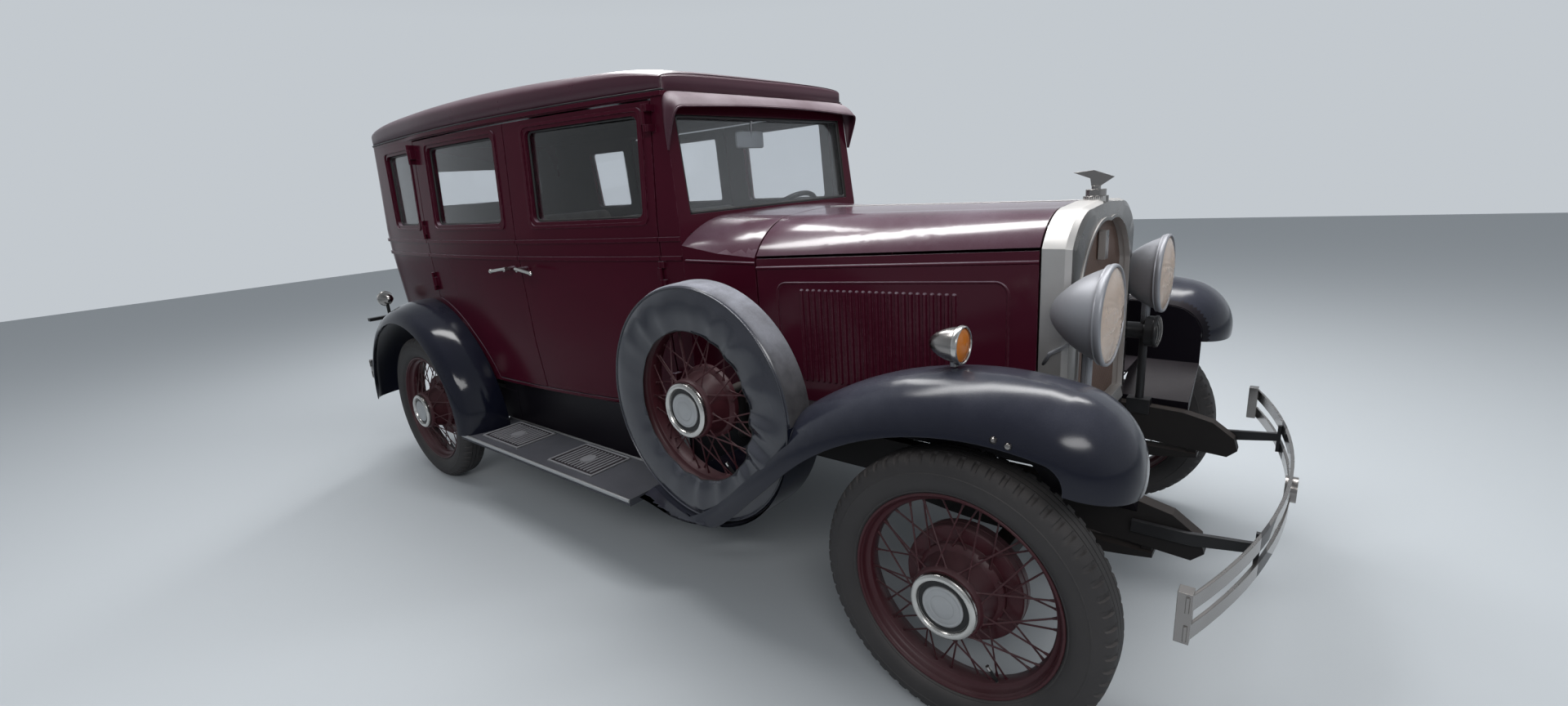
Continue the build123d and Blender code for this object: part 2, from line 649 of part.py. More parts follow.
def roof_section(x, w, side, top, inset):
    base = DRIP_Z + FIT
    w = w - inset
    top = top - inset
    edge = base + side - inset * 0.4
    rise = top - edge
    with BuildSketch(Plane.YZ.offset(x), mode=Mode.PRIVATE) as face:
        with BuildLine():
            Line((-w, base), (w, base))
            Line((w, base), (w, edge))
            ThreePointArc((w, edge), (w * 0.955, edge + rise * 0.36), (w * 0.82, edge + rise * 0.66))
            ThreePointArc((w * 0.82, edge + rise * 0.66), (0, top), (-w * 0.82, edge + rise * 0.66))
            ThreePointArc((-w * 0.82, edge + rise * 0.66), (-w * 0.955, edge + rise * 0.36), (-w, edge))
            Line((-w, edge), (-w, base))
        make_face()
    return face.sketch


with BuildPart() as roof:
    loft(sections=[roof_section(*row, 0) for row in ROOF], ruled=True)
    with BuildPart(mode=Mode.PRIVATE) as roof_hollow:
        loft(sections=[roof_section(x, w, s, top, 30) for x, w, s, top in ROOF[2:-4]], ruled=True)
    add(roof_hollow.part, mode=Mode.SUBTRACT)
save(roof.part, "roof")

# Sun visor over the windscreen.
with BuildPart() as visor:
    add(side_prism([
        (SCREEN_X - 50, 1600), (SCREEN_X - 50, 1624), (FX - 1050, 1606), (FX - 1036, 1598), (FX - 1031, 1584),
        (FX - 1036, 1580),
    ], -520, 520))
    for side in (-1, 1):
        add(side_prism(
            [(SCREEN_X - 50, 1600), (FX - 1035, 1582), (SCREEN_X - 18, 1460), (SCREEN_X - 40, 1460)],
            side * 517 - 3, side * 517 + 3,
        ))
    add(body.part, mode=Mode.SUBTRACT)
save(visor.part, "sun_visor")

# Floor and the dash panel.
with BuildPart() as floor:
    add(outline(SILL_Z, 34 + WALL + FIT, WALL + FIT, 40 + WALL + FIT))
    extrude(amount=20)
    with Locations((SCREEN_X + 57, 0, SILL_Z + 10)):
        Box(206, 2 * 440, 20)
    with Locations((FX - 950, 0, 1010)):
        Box(20, 2 * (488 - 30 - FIT), 160)
save(floor.part, "floor")

# Seats: a bench in the back, a bench in front.
SEATS = [(FX - 1670, 920.0), (FX - 2760, 1030.0)]
with BuildPart() as seats:
    for x, wide in SEATS:
        with BuildSketch(Plane.XZ.offset(-wide / 2)):
            with BuildLine():
                Polyline(
                    (x - 40, SILL_Z + 20 + FIT), (x + 460, SILL_Z + 20 + FIT), (x + 460, 860), (x + 60, 830),
                    (x - 40, 1240), (x - 140, 1240), (x - 120, SILL_Z + 20 + FIT), close=True,
                )
            make_face()
        extrude(amount=wide)
save(seats.part, "seats")

# Front fender: the crown's path seen from the side, and its section across.
with BuildLine(Plane.XZ, mode=Mode.PRIVATE) as fender_path:
    a1 = JernArc((FX - 1130, 334), (cos(radians(4)), sin(radians(4))), 723, 38)
    a2 = Line(a1 @ 1, a1 @ 1 + 240 * (a1 % 1))
    a3 = JernArc(a2 @ 1, a2 % 1, 906, -40)
    a4 = JernArc(a3 @ 1, a3 % 1, 780, -14)
    a5 = JernArc(a4 @ 1, a4 % 1, 168, -88)


def fender_section(side, thick):
    y = side * FENDER_CROWN_Y
    out = side * (FENDER_OUT_Y - FENDER_CROWN_Y)
    inn = -side * 160
    start = fender_path.line @ 0
    plane = Plane(
        origin=(start.X, y, start.Z), x_dir=(0, 1, 0), z_dir=fender_path.line % 0
    )
    flip = 1 if plane.y_dir.Z > 0 else -1
    with BuildSketch(plane, mode=Mode.PRIVATE) as face:
        with BuildLine():
            ThreePointArc((0, 0), (out * 0.72, -36 * flip), (out, -118 * flip))
            Line((out, -118 * flip), (out - side * thick, -118 * flip))
            ThreePointArc(
                (out - side * thick, -118 * flip), (out * 0.70, -40 * flip), (0, -thick * flip)
            )
            ThreePointArc((0, -thick * flip), (inn * 0.6, -26 * flip), (inn, -66 * flip - thick * flip))
            Line((inn, -66 * flip - thick * flip), (inn, -66 * flip))
            ThreePointArc((inn, -66 * flip), (inn * 0.6, -22 * flip), (0, 0))
        make_face()
    return face.sketch


with BuildPart(mode=Mode.PRIVATE) as spare_cut:
    with BuildSketch(Plane.XZ.offset(SPARE_Y)):
        with Locations((SPARE_X, SPARE_Z)):
            Circle(COVER_R + 0.5)
    extrude(amount=SPARE_HALF, both=True)
with BuildPart(mode=Mode.PRIVATE) as right_fender:
    sweep(sections=fender_section(-1, SHEET), path=fender_path.line)
    add(spare_cut.part, mode=Mode.SUBTRACT)
    with Locations((FX - 930, -FENDER_OUT_Y, BOARD_Z - BOARD_THICK - 100)):
        Box(460, 500, 200, mode=Mode.SUBTRACT)
# Points on the fender's inner edge, and the wall, ledge and horn apron that hang on it.
LEDGE_Z = HOOD_FOOT + 40 - FIT
edge_points = []
for i in range(25):
    at = fender_path.line @ (i / 24)
    way = fender_path.line % (i / 24)
    edge_points.append((at.X + way.Z * 68, at.Z - way.X * 68))
rear_edge = [q for q in edge_points if q[1] < LEDGE_Z - 12 and q[0] < FX]
front_edge = [q for q in edge_points if q[1] > LEDGE_Z]
with BuildPart(mode=Mode.PRIVATE) as right_wall:
    add(side_prism(rear_edge + [(rear_edge[-1][0] + 30, LEDGE_Z), (rear_edge[0][0], LEDGE_Z)], -532, -527))
    add(side_prism(
        [(front_edge[0][0] - 30, LEDGE_Z - 6)] + front_edge + [(front_edge[-1][0], LEDGE_Z - 6)], -532, -527
    ))
    with BuildSketch(Plane.XY.offset(LEDGE_Z - 6)):
        with BuildLine():
            Polyline(
                (SCREEN_X + 1, -532), (SHELL_FRONT_X, -532), (SHELL_FRONT_X, -HOOD_FRONT_W + 20),
                (COWL_X, -HOOD_REAR_W + 20), (SCREEN_X + 1, -500), close=True,
            )
        make_face()
    extrude(amount=6)
    with BuildSketch(Plane.YZ.offset(SHELL_FRONT_X - 20)):
        with BuildLine():
            Polyline(
                (-532, LEDGE_Z), (-532, LEDGE_Z - 6),
                (-RAIL_Y - RAIL_HALF - FIT, 490), (-RAIL_Y - RAIL_HALF - FIT, 545), close=True,
            )
        make_face()
    extrude(amount=front_edge[-1][0] - SHELL_FRONT_X + 20)
    add(shell.part, mode=Mode.SUBTRACT)
    add(opening_face(SHELL_REAR_X - 30, 70, 200), mode=Mode.SUBTRACT)
    loft(
        sections=[hood_section(x, w, zh, zt, COWL_FOOT - 20, 0) for x, w, zh, zt in COWL_SECTIONS],
        ruled=True, mode=Mode.SUBTRACT,
    )
    add(frame.part, mode=Mode.SUBTRACT)
    add(envelope(FIT), mode=Mode.SUBTRACT)
with BuildPart() as front_fenders:
    add(right_fender.part)
    mirror(right_fender.part, about=Plane.XZ)
    add(right_wall.part)
    mirror(right_wall.part, about=Plane.XZ)
    with BuildPart(mode=Mode.PRIVATE) as well:
        with BuildSketch(Plane.XZ.offset(SPARE_Y - SPARE_HALF - 4)):
            with Locations((SPARE_X, SPARE_Z)):
                Circle(COVER_R + 4.5)
        extrude(amount=2 * SPARE_HALF + 8)
        add(spare_cut.part, mode=Mode.SUBTRACT)
        add(side_prism(
            [(FX - 1200, 296), (FX - 420, 720), (FX - 420, 1200), (FX - 1200, 1200)], -900, -600
        ), mode=Mode.SUBTRACT)
        add(right_fender.part, mode=Mode.SUBTRACT)
    add(well.part)
    mirror(well.part, about=Plane.XZ)
save(front_fenders.part, "front_fenders")

# Rear fenders: the section turns about the wheel centre.
REAR_CROWN_R = 536.0
with BuildPart(mode=Mode.PRIVATE) as rear_right:
    low_angle = asin((BOARD_Z - WHEEL_Z - 4) / (REAR_CROWN_R - 90))
    turned = Plane(
        origin=(RX, 0, WHEEL_Z), x_dir=(cos(low_angle), 0, sin(low_angle)),
        z_dir=(-sin(low_angle), 0, cos(low_angle)),
    )
    with BuildSketch(turned):
        with BuildLine():
            x = REAR_CROWN_R
            ThreePointArc((x - 8, -600), (x, -690), (x - 26, -790))
            ThreePointArc((x - 26, -790), (x - 52, -826), (x - 88, -842))
            Line((x - 88, -842), (x - 90, -838))
            ThreePointArc((x - 90, -838), (x - 55, -822), (x - 30, -787))
            ThreePointArc((x - 30, -787), (x - 4, -690), (x - 12, -600))
            Line((x - 12, -600), (x - 8, -600))
        make_face()
    revolve(axis=Axis((RX, 0, WHEEL_Z), (0, -1, 0)), revolution_arc=184)
    add(envelope(FIT, low=300), mode=Mode.SUBTRACT)
    with Locations((RX + 500, -700, BOARD_Z + FIT - 100)):
        Box(400, 400, 200, mode=Mode.SUBTRACT)
with BuildPart() as rear_fenders:
    add(rear_right.part)
    mirror(rear_right.part, about=Plane.XZ)
save(rear_fenders.part, "rear_fenders")

# Running boards and the splash aprons under the body.
BOARD_REAR_X = FX - 2336
BOARD_FRONT_X = FX - 1130 - FIT
BOARD_LONG = BOARD_FRONT_X - BOARD_REAR_X
BOARD_MID_X = (BOARD_FRONT_X + BOARD_REAR_X) / 2
PLATES = (FX - 2070, FX - 1550)
with BuildPart() as boards:
    for side in (-1, 1):
        with Locations((BOARD_MID_X, side * (BOARD_IN + BOARD_OUT) / 2, BOARD_Z - BOARD_THICK / 2)):
            Box(BOARD_LONG, BOARD_OUT - BOARD_IN, BOARD_THICK)
        with Locations((BOARD_MID_X, side * (BOARD_IN - 4), (BOARD_Z - BOARD_THICK + SILL_Z - FIT) / 2)):
            Box(BOARD_LONG, 8, SILL_Z - FIT - BOARD_Z + BOARD_THICK)
        trim = []
        for x in PLATES:
            with BuildPart(mode=Mode.PRIVATE) as plate:
                with Locations((x, side * 690, BOARD_Z + 2)):
                    Box(290, 185, 4)
                    Box(274, 169, 4, mode=Mode.SUBTRACT)
                for i in range(17):
                    with Locations((x - 120 + 15 * i, side * 690, BOARD_Z + 1.5)):
                        Box(6, 150, 3)
                add(rod((x, side * 690, BOARD_Z), (x, side * 690, BOARD_Z + 4), 34))
            trim.append(plate.part)
        for y, z, r in ((BOARD_OUT, BOARD_Z - 5, 7), (BOARD_IN, BOARD_Z, 6)):
            trim.append(rod((BOARD_REAR_X, side * y, z), (BOARD_FRONT_X, side * y, z), r))
        add(trim)
    add(frame.part, mode=Mode.SUBTRACT)
    add(rear_fenders.part, mode=Mode.SUBTRACT)
save(boards.part, "running_boards")

# Wheels: name, x, side, mid-plane y.
WHEELS = [
    ("front_right", FX, -1, TRACK_FRONT / 2),
    ("front_left", FX, 1, TRACK_FRONT / 2),
    ("rear_right", RX, -1, TRACK_REAR / 2),
    ("rear_left", RX, 1, TRACK_REAR / 2),
]
SPOKES = 20


# Profiles of tyre and wheel in a plane through the axis: radius to the right, outward up.
def wheel_plane(x, y, z, side):
    return Plane(origin=(x, side * y, z), x_dir=(1, 0, 0), z_dir=(0, 0, side))


def tyre_part(x, y, z, side):
    h = TYRE_W / 2
    with BuildPart(mode=Mode.PRIVATE) as ring:
        with BuildSketch(wheel_plane(x, y, z, side)):
            with BuildLine():
                Polyline(
                    (246 + FIT, -41 + FIT), (RIM_R + FIT, -41 + FIT), (RIM_R + 12, -55), (RIM_R + 40, -h),
                    (TYRE_R - 24, -h + 3), (TYRE_R - 8, -h + 12), (TYRE_R, -h + 22),
                    (TYRE_R, h - 22), (TYRE_R - 8, h - 12), (TYRE_R - 24, h - 3),
                    (RIM_R + 40, h), (RIM_R + 12, 55), (RIM_R + FIT, 41 - FIT), (246 + FIT, 41 - FIT),
                    close=True,
                )
            make_face()
        revolve(axis=Axis((x, side * y, z), (0, side, 0)))
    return ring.part


# A wire wheel about the Y axis with its outer face towards -Y, with or without a brake drum.
def wheel_part(drum):
    with BuildPart(mode=Mode.PRIVATE) as wheel:
        with BuildSketch(Plane(origin=(0, 0, 0), x_dir=(1, 0, 0), z_dir=(0, 0, -1))):
            with BuildLine():
                Polyline(
                    (RIM_R, -45), (RIM_R, -41), (246, -41), (246, -22), (234, -16), (234, 16), (246, 22),
                    (246, 41), (RIM_R, 41), (RIM_R, 45), (241, 45), (241, 25), (229, 19), (229, -19),
                    (241, -25), (241, -45), close=True,
                )
            make_face()
            with BuildLine():
                Polyline(
                    (20, -20), (112, -20), (112, -8), (98, 4), (92, 30), (84, 72), (82, 84), (70, 92),
                    (0, 96), (0, 30), (20, 30), close=True,
                )
            make_face()
            if drum:
                with BuildLine():
                    Polyline((20, -19), (150, -19), (150, -64), (142, -64), (142, -28), (20, -28), close=True)
                make_face()
        revolve(axis=Axis.Y)
        spokes = []
        for i in range(SPOKES):
            for a0, turn, r0, o0, o1 in ((0.0, 20.0, 86.0, 64.0, 6.0), (9.0, -20.0, 98.0, 0.0, -6.0)):
                a = radians(a0 + i * 360 / SPOKES)
                b = a + radians(turn * (1 if i % 2 else -1))
                p = (r0 * cos(a), -o0, r0 * sin(a))
                q = (231 * cos(b), -o1, 231 * sin(b))
                spokes.append(bar(p, q, 4.5))
        add(spokes)
    return wheel.part


# A copy of a right-hand wheel or tyre at its place, turned over for the left side.
def place(part, x, y, z, side):
    if side > 0:
        part = mirror(part, about=Plane.XZ, mode=Mode.PRIVATE)
    return part.moved(Location((x, side * y, z)))


road_wheel = wheel_part(True)
spare_wheel = wheel_part(False)
for name, x, side, y in WHEELS:
    save(tyre_part(x, y, WHEEL_Z, side), "tyre_" + name)
    save(place(road_wheel, x, y, WHEEL_Z, side), "wheel_" + name)

with BuildPart() as spare_tyres:
    for side in (-1, 1):
        add(tyre_part(SPARE_X, SPARE_Y, SPARE_Z, side))
save(spare_tyres.part, "spare_tyres")
with BuildPart() as spare_wheels:
    for side in (-1, 1):
        add(place(spare_wheel, SPARE_X, SPARE_Y, SPARE_Z, side))
save(spare_wheels.part, "spare_wheels")

# Soft covers round the spare tyres: the front face and the tread, open at the back.
COVER = [
    (228, 50), (262, 59), (300, 62.5), (334, 60.5), (350, 54), (358.5, 44), (359, -30), (363, -30),
    (363, 45), (354, 57.5), (336, 65), (300, 66.5), (262, 63), (228, 54),
]
with BuildPart() as covers:
    with BuildSketch(wheel_plane(SPARE_X, SPARE_Y, SPARE_Z, -1)):
        with BuildLine():
            Polyline(*COVER, close=True)
        make_face()
    revolve(axis=Axis((SPARE_X, -SPARE_Y, SPARE_Z), (0, -1, 0)))
    mirror(covers.part, about=Plane.XZ)
save(covers.part, "spare_covers")

# Steering knuckles: kingpin, fork, spindle and brake backing plate.
with BuildPart(mode=Mode.PRIVATE) as right_knuckle:
    with BuildSketch(Plane.XY.offset(WHEEL_Z - 48)):
        with Locations((FX, -KING_Y)):
            Circle(KING_R)
    extrude(amount=96)
    for z in (WHEEL_Z - 40, WHEEL_Z + 40):
        with Locations((FX, -KING_Y - 17, z)):
            Box(34, 62, 16)
    with Locations((FX, -KING_Y - 41, WHEEL_Z)):
        Box(60, 12, 96)
    add(rod((FX, -KING_Y - 36, WHEEL_Z), (FX, -TRACK_FRONT / 2 - 20, WHEEL_Z), SHAFT_R))
    add(rod((FX, -KING_Y - 35, WHEEL_Z), (FX, -KING_Y - 41, WHEEL_Z), 141))
save(right_knuckle.part, "knuckle_right")
save(mirror(right_knuckle.part, about=Plane.XZ, mode=Mode.PRIVATE), "knuckle_left")

# Engine and gearbox as plain closed blocks, with the exhaust and the fuel tank.
with BuildPart() as engine:
    with Locations((FX - 370, 0, 740)):
        Box(640, 300, 500)
    with Locations((FX - 900, 0, 440)):
        Box(420, 220, 100)
    add(rod((FX - 500, -120, 480), (FX - 560, -200, 440), 24))
    add(rod((FX - 560, -200, 440), (FX - 1500, -200, 400), 24))
    add(rod((FX - 1500, -200, 400), (FX - 2000, -200, 400), 62))
    add(rod((FX - 2000, -200, 400), (RX + 330, -200, 400), 22))
    with Locations((RX - 390, 0, 450)):
        Box(250, 2 * (RAIL_Y - RAIL_HALF - FIT), 120)
    add(frame.part, mode=Mode.SUBTRACT)
save(engine.part, "powertrain")

# Headlamps on posts: reflector bowls with rims, lenses in front.
LAMP_Y = 338.0
LAMP_Z = 971.0
LAMP_X = FX + 215
SIDE_LAMP_X = FX - 5
SIDE_LAMP_Z = 958.0
TAIL_Y = 690.0
TAIL_Z = 872.0
HORN_Z = 781.0


# A bullet lamp that looks along +X (way 1) or -X (way -1), its face at x, with a seat for the lens.
def bullet(x, y, z, way, r):
    with BuildPart(mode=Mode.PRIVATE) as shade:
        with BuildSketch(Plane(origin=(x, y, z), x_dir=(0, 1, 0), z_dir=(0, 0, -way))):
            with BuildLine():
                ThreePointArc((0, -2 * r + 14), (r * 0.74, -r * 0.95), (r - 4, -6))
                Polyline(
                    (r - 4, -6), (r, -4), (r, 8), (r - 7, 8), (r - 7, -3), (0, -3), (0, -2 * r + 14),
                )
            make_face()
        revolve(axis=Axis((x, y, z), (1, 0, 0)))
    return shade.part


with BuildPart() as lamps:
    for side in (-1, 1):
        with BuildSketch(Plane(origin=(LAMP_X, side * LAMP_Y, LAMP_Z), x_dir=(0, 1, 0), z_dir=(0, 0, -1))):
            with BuildLine():
                ThreePointArc((0, -86), (86, -56), (119, -10))
                Polyline((119, -10), (124, -8), (124, 8), (116, 8), (116, -6), (0, -6), (0, -86))
            make_face()
        revolve(axis=Axis((LAMP_X, side * LAMP_Y, LAMP_Z), (1, 0, 0)))
        add(rod((LAMP_X - 46, side * LAMP_Y, 515), (LAMP_X - 46, side * LAMP_Y, 890), 13))
        with Locations((LAMP_X - 46, side * LAMP_Y, 525)):
            Box(70, 40, 50)
        bend = (FX + 78, side * LAMP_Y, 860)
        add(rod((FX + 58, side * (HOOD_FRONT_W - 2), 826), bend, 5))
        add(rod(bend, (LAMP_X - 50, side * LAMP_Y, 915), 5))
        with Locations(bend):
            Sphere(5)
        add(bullet(SIDE_LAMP_X, side * FENDER_CROWN_Y, SIDE_LAMP_Z, 1, 45))
        add(rod(
            (SIDE_LAMP_X - 16, side * FENDER_CROWN_Y, SIDE_LAMP_Z - 50),
            (SIDE_LAMP_X - 16, side * FENDER_CROWN_Y, SIDE_LAMP_Z), 9,
        ))
        add(bullet(RX - 480, side * TAIL_Y, TAIL_Z, -1, 40))
        add(rod((RX - 466, side * TAIL_Y, TAIL_Z - 90), (RX - 466, side * TAIL_Y, TAIL_Z), 8))
        with Locations((RX - 476, side * TAIL_Y, TAIL_Z - 96)):
            Box(30, 200, 16)
    for x0, x1, r in ((FX + 176, FX + 200, 50), (FX + 90, FX + 176, 27)):
        add(rod((x0, LAMP_Y, HORN_Z), (x1, LAMP_Y, HORN_Z), r))
    add(frame.part, mode=Mode.SUBTRACT)
    add(shell.part, mode=Mode.SUBTRACT)
    add(front_fenders.part, mode=Mode.SUBTRACT)
    add(rear_fenders.part, mode=Mode.SUBTRACT)
save(lamps.part, "lamps")
with BuildPart() as lenses:
    for side in (-1, 1):
        for x0, x1, y, z, r in (
            (LAMP_X - 4, LAMP_X + 6, LAMP_Y, LAMP_Z, 116),
            (SIDE_LAMP_X - 2, SIDE_LAMP_X + 6, FENDER_CROWN_Y, SIDE_LAMP_Z, 38),
            (RX - 478, RX - 486, TAIL_Y, TAIL_Z, 33),
        ):
            add(rod((x0, side * y, z), (x1, side * y, z), r - FIT))
save(lenses.part, "lamp_lenses")

# Bumpers: two bowed bars on each, end clamps and brackets.
BUMPER_Z = 468.0
BUMPER_END = 720.0
with BuildPart(mode=Mode.PRIVATE) as front_bumper:
    for dz in (-32, 32):
        with BuildSketch(Plane.XY.offset(BUMPER_Z + dz - 17)):
            with BuildLine():
                ThreePointArc((FX + 470, -BUMPER_END), (LENGTH / 2 - 12, 0), (FX + 470, BUMPER_END))
                Line((FX + 470, BUMPER_END), (FX + 464, BUMPER_END))
                ThreePointArc((FX + 464, BUMPER_END), (LENGTH / 2 - 20, 0), (FX + 464, -BUMPER_END))
                Line((FX + 464, -BUMPER_END), (FX + 470, -BUMPER_END))
            make_face()
        extrude(amount=34)
    for side in (-1, 1):
        with Locations((FX + 462, side * (BUMPER_END - 18), BUMPER_Z)):
            Box(26, 30, 110)
        bracket_y = RAIL_Y + RAIL_HALF + FIT + 6
        tip = LENGTH / 2 - 20 - bracket_y ** 2 / 4178 - FIT
        add(side_prism([
            (FX + 300, 440), (FX + 300, 470), (FX + 420, 470), (tip - 10, 484), (tip - 10, 510), (tip, 510),
            (tip, 425), (tip - 10, 425), (tip - 10, 460), (FX + 430, 440),
        ], side * bracket_y - 6, side * bracket_y + 6))
    add(rod((FX + 585, 0, BUMPER_Z), (LENGTH / 2, 0, BUMPER_Z), 34))
REAR_Z = 440.0
with BuildPart(mode=Mode.PRIVATE) as rear_bumper:
    for dz in (-32, 32):
        with BuildSketch(Plane.XY.offset(REAR_Z + dz - 17)):
            with BuildLine():
                ThreePointArc((RX - 850, -BUMPER_END), (-LENGTH / 2, 0), (RX - 850, BUMPER_END))
                Line((RX - 850, BUMPER_END), (RX - 844, BUMPER_END))
                ThreePointArc((RX - 844, BUMPER_END), (-LENGTH / 2 + 8, 0), (RX - 844, -BUMPER_END))
                Line((RX - 844, -BUMPER_END), (RX - 850, -BUMPER_END))
            make_face()
        extrude(amount=34)
    for side in (-1, 1):
        with Locations((RX - 842, side * (BUMPER_END - 18), REAR_Z)):
            Box(26, 30, 110)
        tip = -LENGTH / 2 + 8 + RAIL_Y ** 2 / 7582 + FIT
        end = RX - 560 - FIT
        add(side_prism([
            (end, 480), (end, 530), (end - 60, 530), (tip + 14, 455), (tip + 14, 485), (tip, 485), (tip, 395),
            (tip + 14, 395), (tip + 14, 430), (end - 70, 480),
        ], side * RAIL_Y - 6, side * RAIL_Y + 6))
with BuildPart() as bumpers:
    add(front_bumper.part)
    add(rear_bumper.part)
save(bumpers.part, "bumpers")

# Steering wheel on its column.
wheel_at = Vector(*COLUMN_TOP) + column_dir * (20 + FIT)
with BuildPart() as steering:
    with Locations(Plane(origin=wheel_at + column_dir * 10, z_dir=column_dir)):
        Torus(194, 11)
    with BuildSketch(Plane(origin=wheel_at + column_dir * -20, z_dir=column_dir)):
        Circle(34)
    extrude(amount=44)
    for i in range(4):
        with BuildSketch(Plane(origin=wheel_at + column_dir * 4, z_dir=column_dir)):
            with Locations(Rotation(0, 0, 45 + 90 * i) * Location((108, 0))):
                Rectangle(166, 20)
        extrude(amount=12)
save(steering.part, "steering_wheel")
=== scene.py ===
import math

import bmesh
import bpy
from mathutils import Matrix, Vector, noise


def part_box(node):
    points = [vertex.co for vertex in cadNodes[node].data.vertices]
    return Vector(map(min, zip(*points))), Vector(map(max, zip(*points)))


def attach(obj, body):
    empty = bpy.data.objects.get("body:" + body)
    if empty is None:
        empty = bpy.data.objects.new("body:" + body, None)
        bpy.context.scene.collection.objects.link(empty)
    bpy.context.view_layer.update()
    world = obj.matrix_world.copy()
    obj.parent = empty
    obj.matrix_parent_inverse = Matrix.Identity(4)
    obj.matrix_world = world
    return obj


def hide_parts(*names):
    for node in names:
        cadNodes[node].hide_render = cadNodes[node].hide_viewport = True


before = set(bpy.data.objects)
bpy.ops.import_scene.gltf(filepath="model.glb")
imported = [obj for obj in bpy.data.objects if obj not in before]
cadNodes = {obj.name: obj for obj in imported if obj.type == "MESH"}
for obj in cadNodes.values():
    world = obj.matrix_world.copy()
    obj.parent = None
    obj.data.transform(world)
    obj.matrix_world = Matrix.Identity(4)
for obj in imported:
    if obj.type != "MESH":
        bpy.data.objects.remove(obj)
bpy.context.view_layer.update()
print("frame loaded,", len(cadNodes), "nodes")


def middleOf(node):
    return [(low + high) / 2 for low, high in zip(*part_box(node))]


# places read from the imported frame, in metres; spareY is the middle of the left spare tyre
axleX, rightY, wheelZ = middleOf("tyre_front_right")
rearX, rearRightY = middleOf("tyre_rear_right")[:2]
spareX, spareZ = middleOf("spare_tyres")[::2]
tyreLow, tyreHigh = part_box("tyre_front_right")
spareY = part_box("spare_tyres")[1].y - (tyreHigh.y - tyreLow.y) / 2
# name of a side, its sign on Y, and the turn that faces a right-hand form to it
sides = (("right", -1, 0.0), ("left", 1, math.pi))


# shader helpers
def feed(tree, socket, value):
    if isinstance(value, bpy.types.NodeSocket):
        tree.links.new(value, socket)
    else:
        socket.default_value = value


def fill(tree, sockets, values):
    for key, value in values.items():
        feed(tree, sockets[key], value)


def put(tree, kind, values=None, **settings):
    made = tree.nodes.new("ShaderNode" + kind)
    for key, value in settings.items():
        setattr(made, key, value)
    fill(tree, made.inputs, values or {})
    return made.outputs


def mixColour(tree, factor, a, b):
    return put(tree, "Mix", {0: factor, 6: a, 7: b}, data_type="RGBA")[2]


def maths(tree, operation, *values, clamp=False):
    return put(tree, "Math", dict(enumerate(values)), operation=operation, use_clamp=clamp)[0]


def ranged(tree, value, low, high, toLow=0.0, toHigh=1.0, **settings):
    values = {"Value": value, "From Min": low, "From Max": high, "To Min": toLow, "To Max": toHigh}
    return put(tree, "MapRange", values, **settings)["Result"]


def noiseOn(tree, scale, detail, rough=0.5):
    place = put(tree, "TexCoord")["Object"]
    return put(tree, "TexNoise", {"Vector": place, "Scale": scale, "Detail": detail, "Roughness": rough})["Fac"]


def newGroup(name, inputs, outputs):
    # inputs as name and usual value, outputs as name and kind of socket
    group = bpy.data.node_groups.new(name, "ShaderNodeTree")
    for label, value in inputs.items():
        kind = "NodeSocketColor" if isinstance(value, tuple) else "NodeSocketFloat"
        group.interface.new_socket(label, in_out="INPUT", socket_type=kind).default_value = value
    for label, kind in outputs.items():
        group.interface.new_socket(label, in_out="OUTPUT", socket_type="NodeSocket" + kind)
    return group, group.nodes.new("NodeGroupInput").outputs, group.nodes.new("NodeGroupOutput").inputs


# dust that settles on what faces up, in soft patches; on the body, hood and front fender paints this lighter top
# colour is partly a painted sheen where light falls on upward faces
dustAndSheenGroup, given, out = newGroup(
    "settledDustAndSheen",
    {
        "Colour": (0.1, 0.1, 0.1, 1), "Dust And Sheen Colour": (0.4, 0.38, 0.4, 1), "Amount": 0.5, "Everywhere": 0.05,
        "Patch Size": 4.0,
    },
    {"Colour": "Color", "Mask": "Float"},
)
up = put(dustAndSheenGroup, "SeparateXYZ", {"Vector": put(dustAndSheenGroup, "NewGeometry")["Normal"]})["Z"]
top = ranged(dustAndSheenGroup, up, 0.15, 1.0, interpolation_type="SMOOTHSTEP")
patch = ranged(dustAndSheenGroup, noiseOn(dustAndSheenGroup, given["Patch Size"], 6.0, 0.62), 0.02, 0.74)
grain = maths(dustAndSheenGroup, "MULTIPLY_ADD", noiseOn(dustAndSheenGroup, 420.0, 2.0), 0.5, 0.55)
dustSum = maths(dustAndSheenGroup, "ADD", maths(dustAndSheenGroup, "MULTIPLY", top, given["Amount"]), given["Everywhere"])
mask = maths(dustAndSheenGroup, "MULTIPLY", maths(dustAndSheenGroup, "MULTIPLY", dustSum, patch), grain, clamp=True)
fill(dustAndSheenGroup, out, {
    "Colour": mixColour(dustAndSheenGroup, mask, given["Colour"], given["Dust And Sheen Colour"]), "Mask": mask,
})

# wear along edges, broken up by noise; on the body and hood paints the pink edge colour is a painted highlight along
# edges and mouldings
wearAndGlintGroup, given, out = newGroup(
    "edgeWearAndGlint",
    {
        "Colour": (0.1, 0.1, 0.1, 1), "Bare And Glint Colour": (0.3, 0.28, 0.27, 1), "Amount": 0.5, "Edge Width": 0.002,
        "Break Up": 60.0,
    },
    {"Colour": "Color", "Mask": "Float"},
)
turned = put(wearAndGlintGroup, "Bevel", {"Radius": given["Edge Width"]}, samples=3)["Normal"]
flat = put(wearAndGlintGroup, "NewGeometry")["Normal"]
edge = ranged(
    wearAndGlintGroup, put(wearAndGlintGroup, "VectorMath", {0: turned, 1: flat}, operation="DOT_PRODUCT")["Value"], 0.995, 0.86,
)
holes = ranged(wearAndGlintGroup, noiseOn(wearAndGlintGroup, given["Break Up"], 5.0, 0.7), 0.42, 0.62)
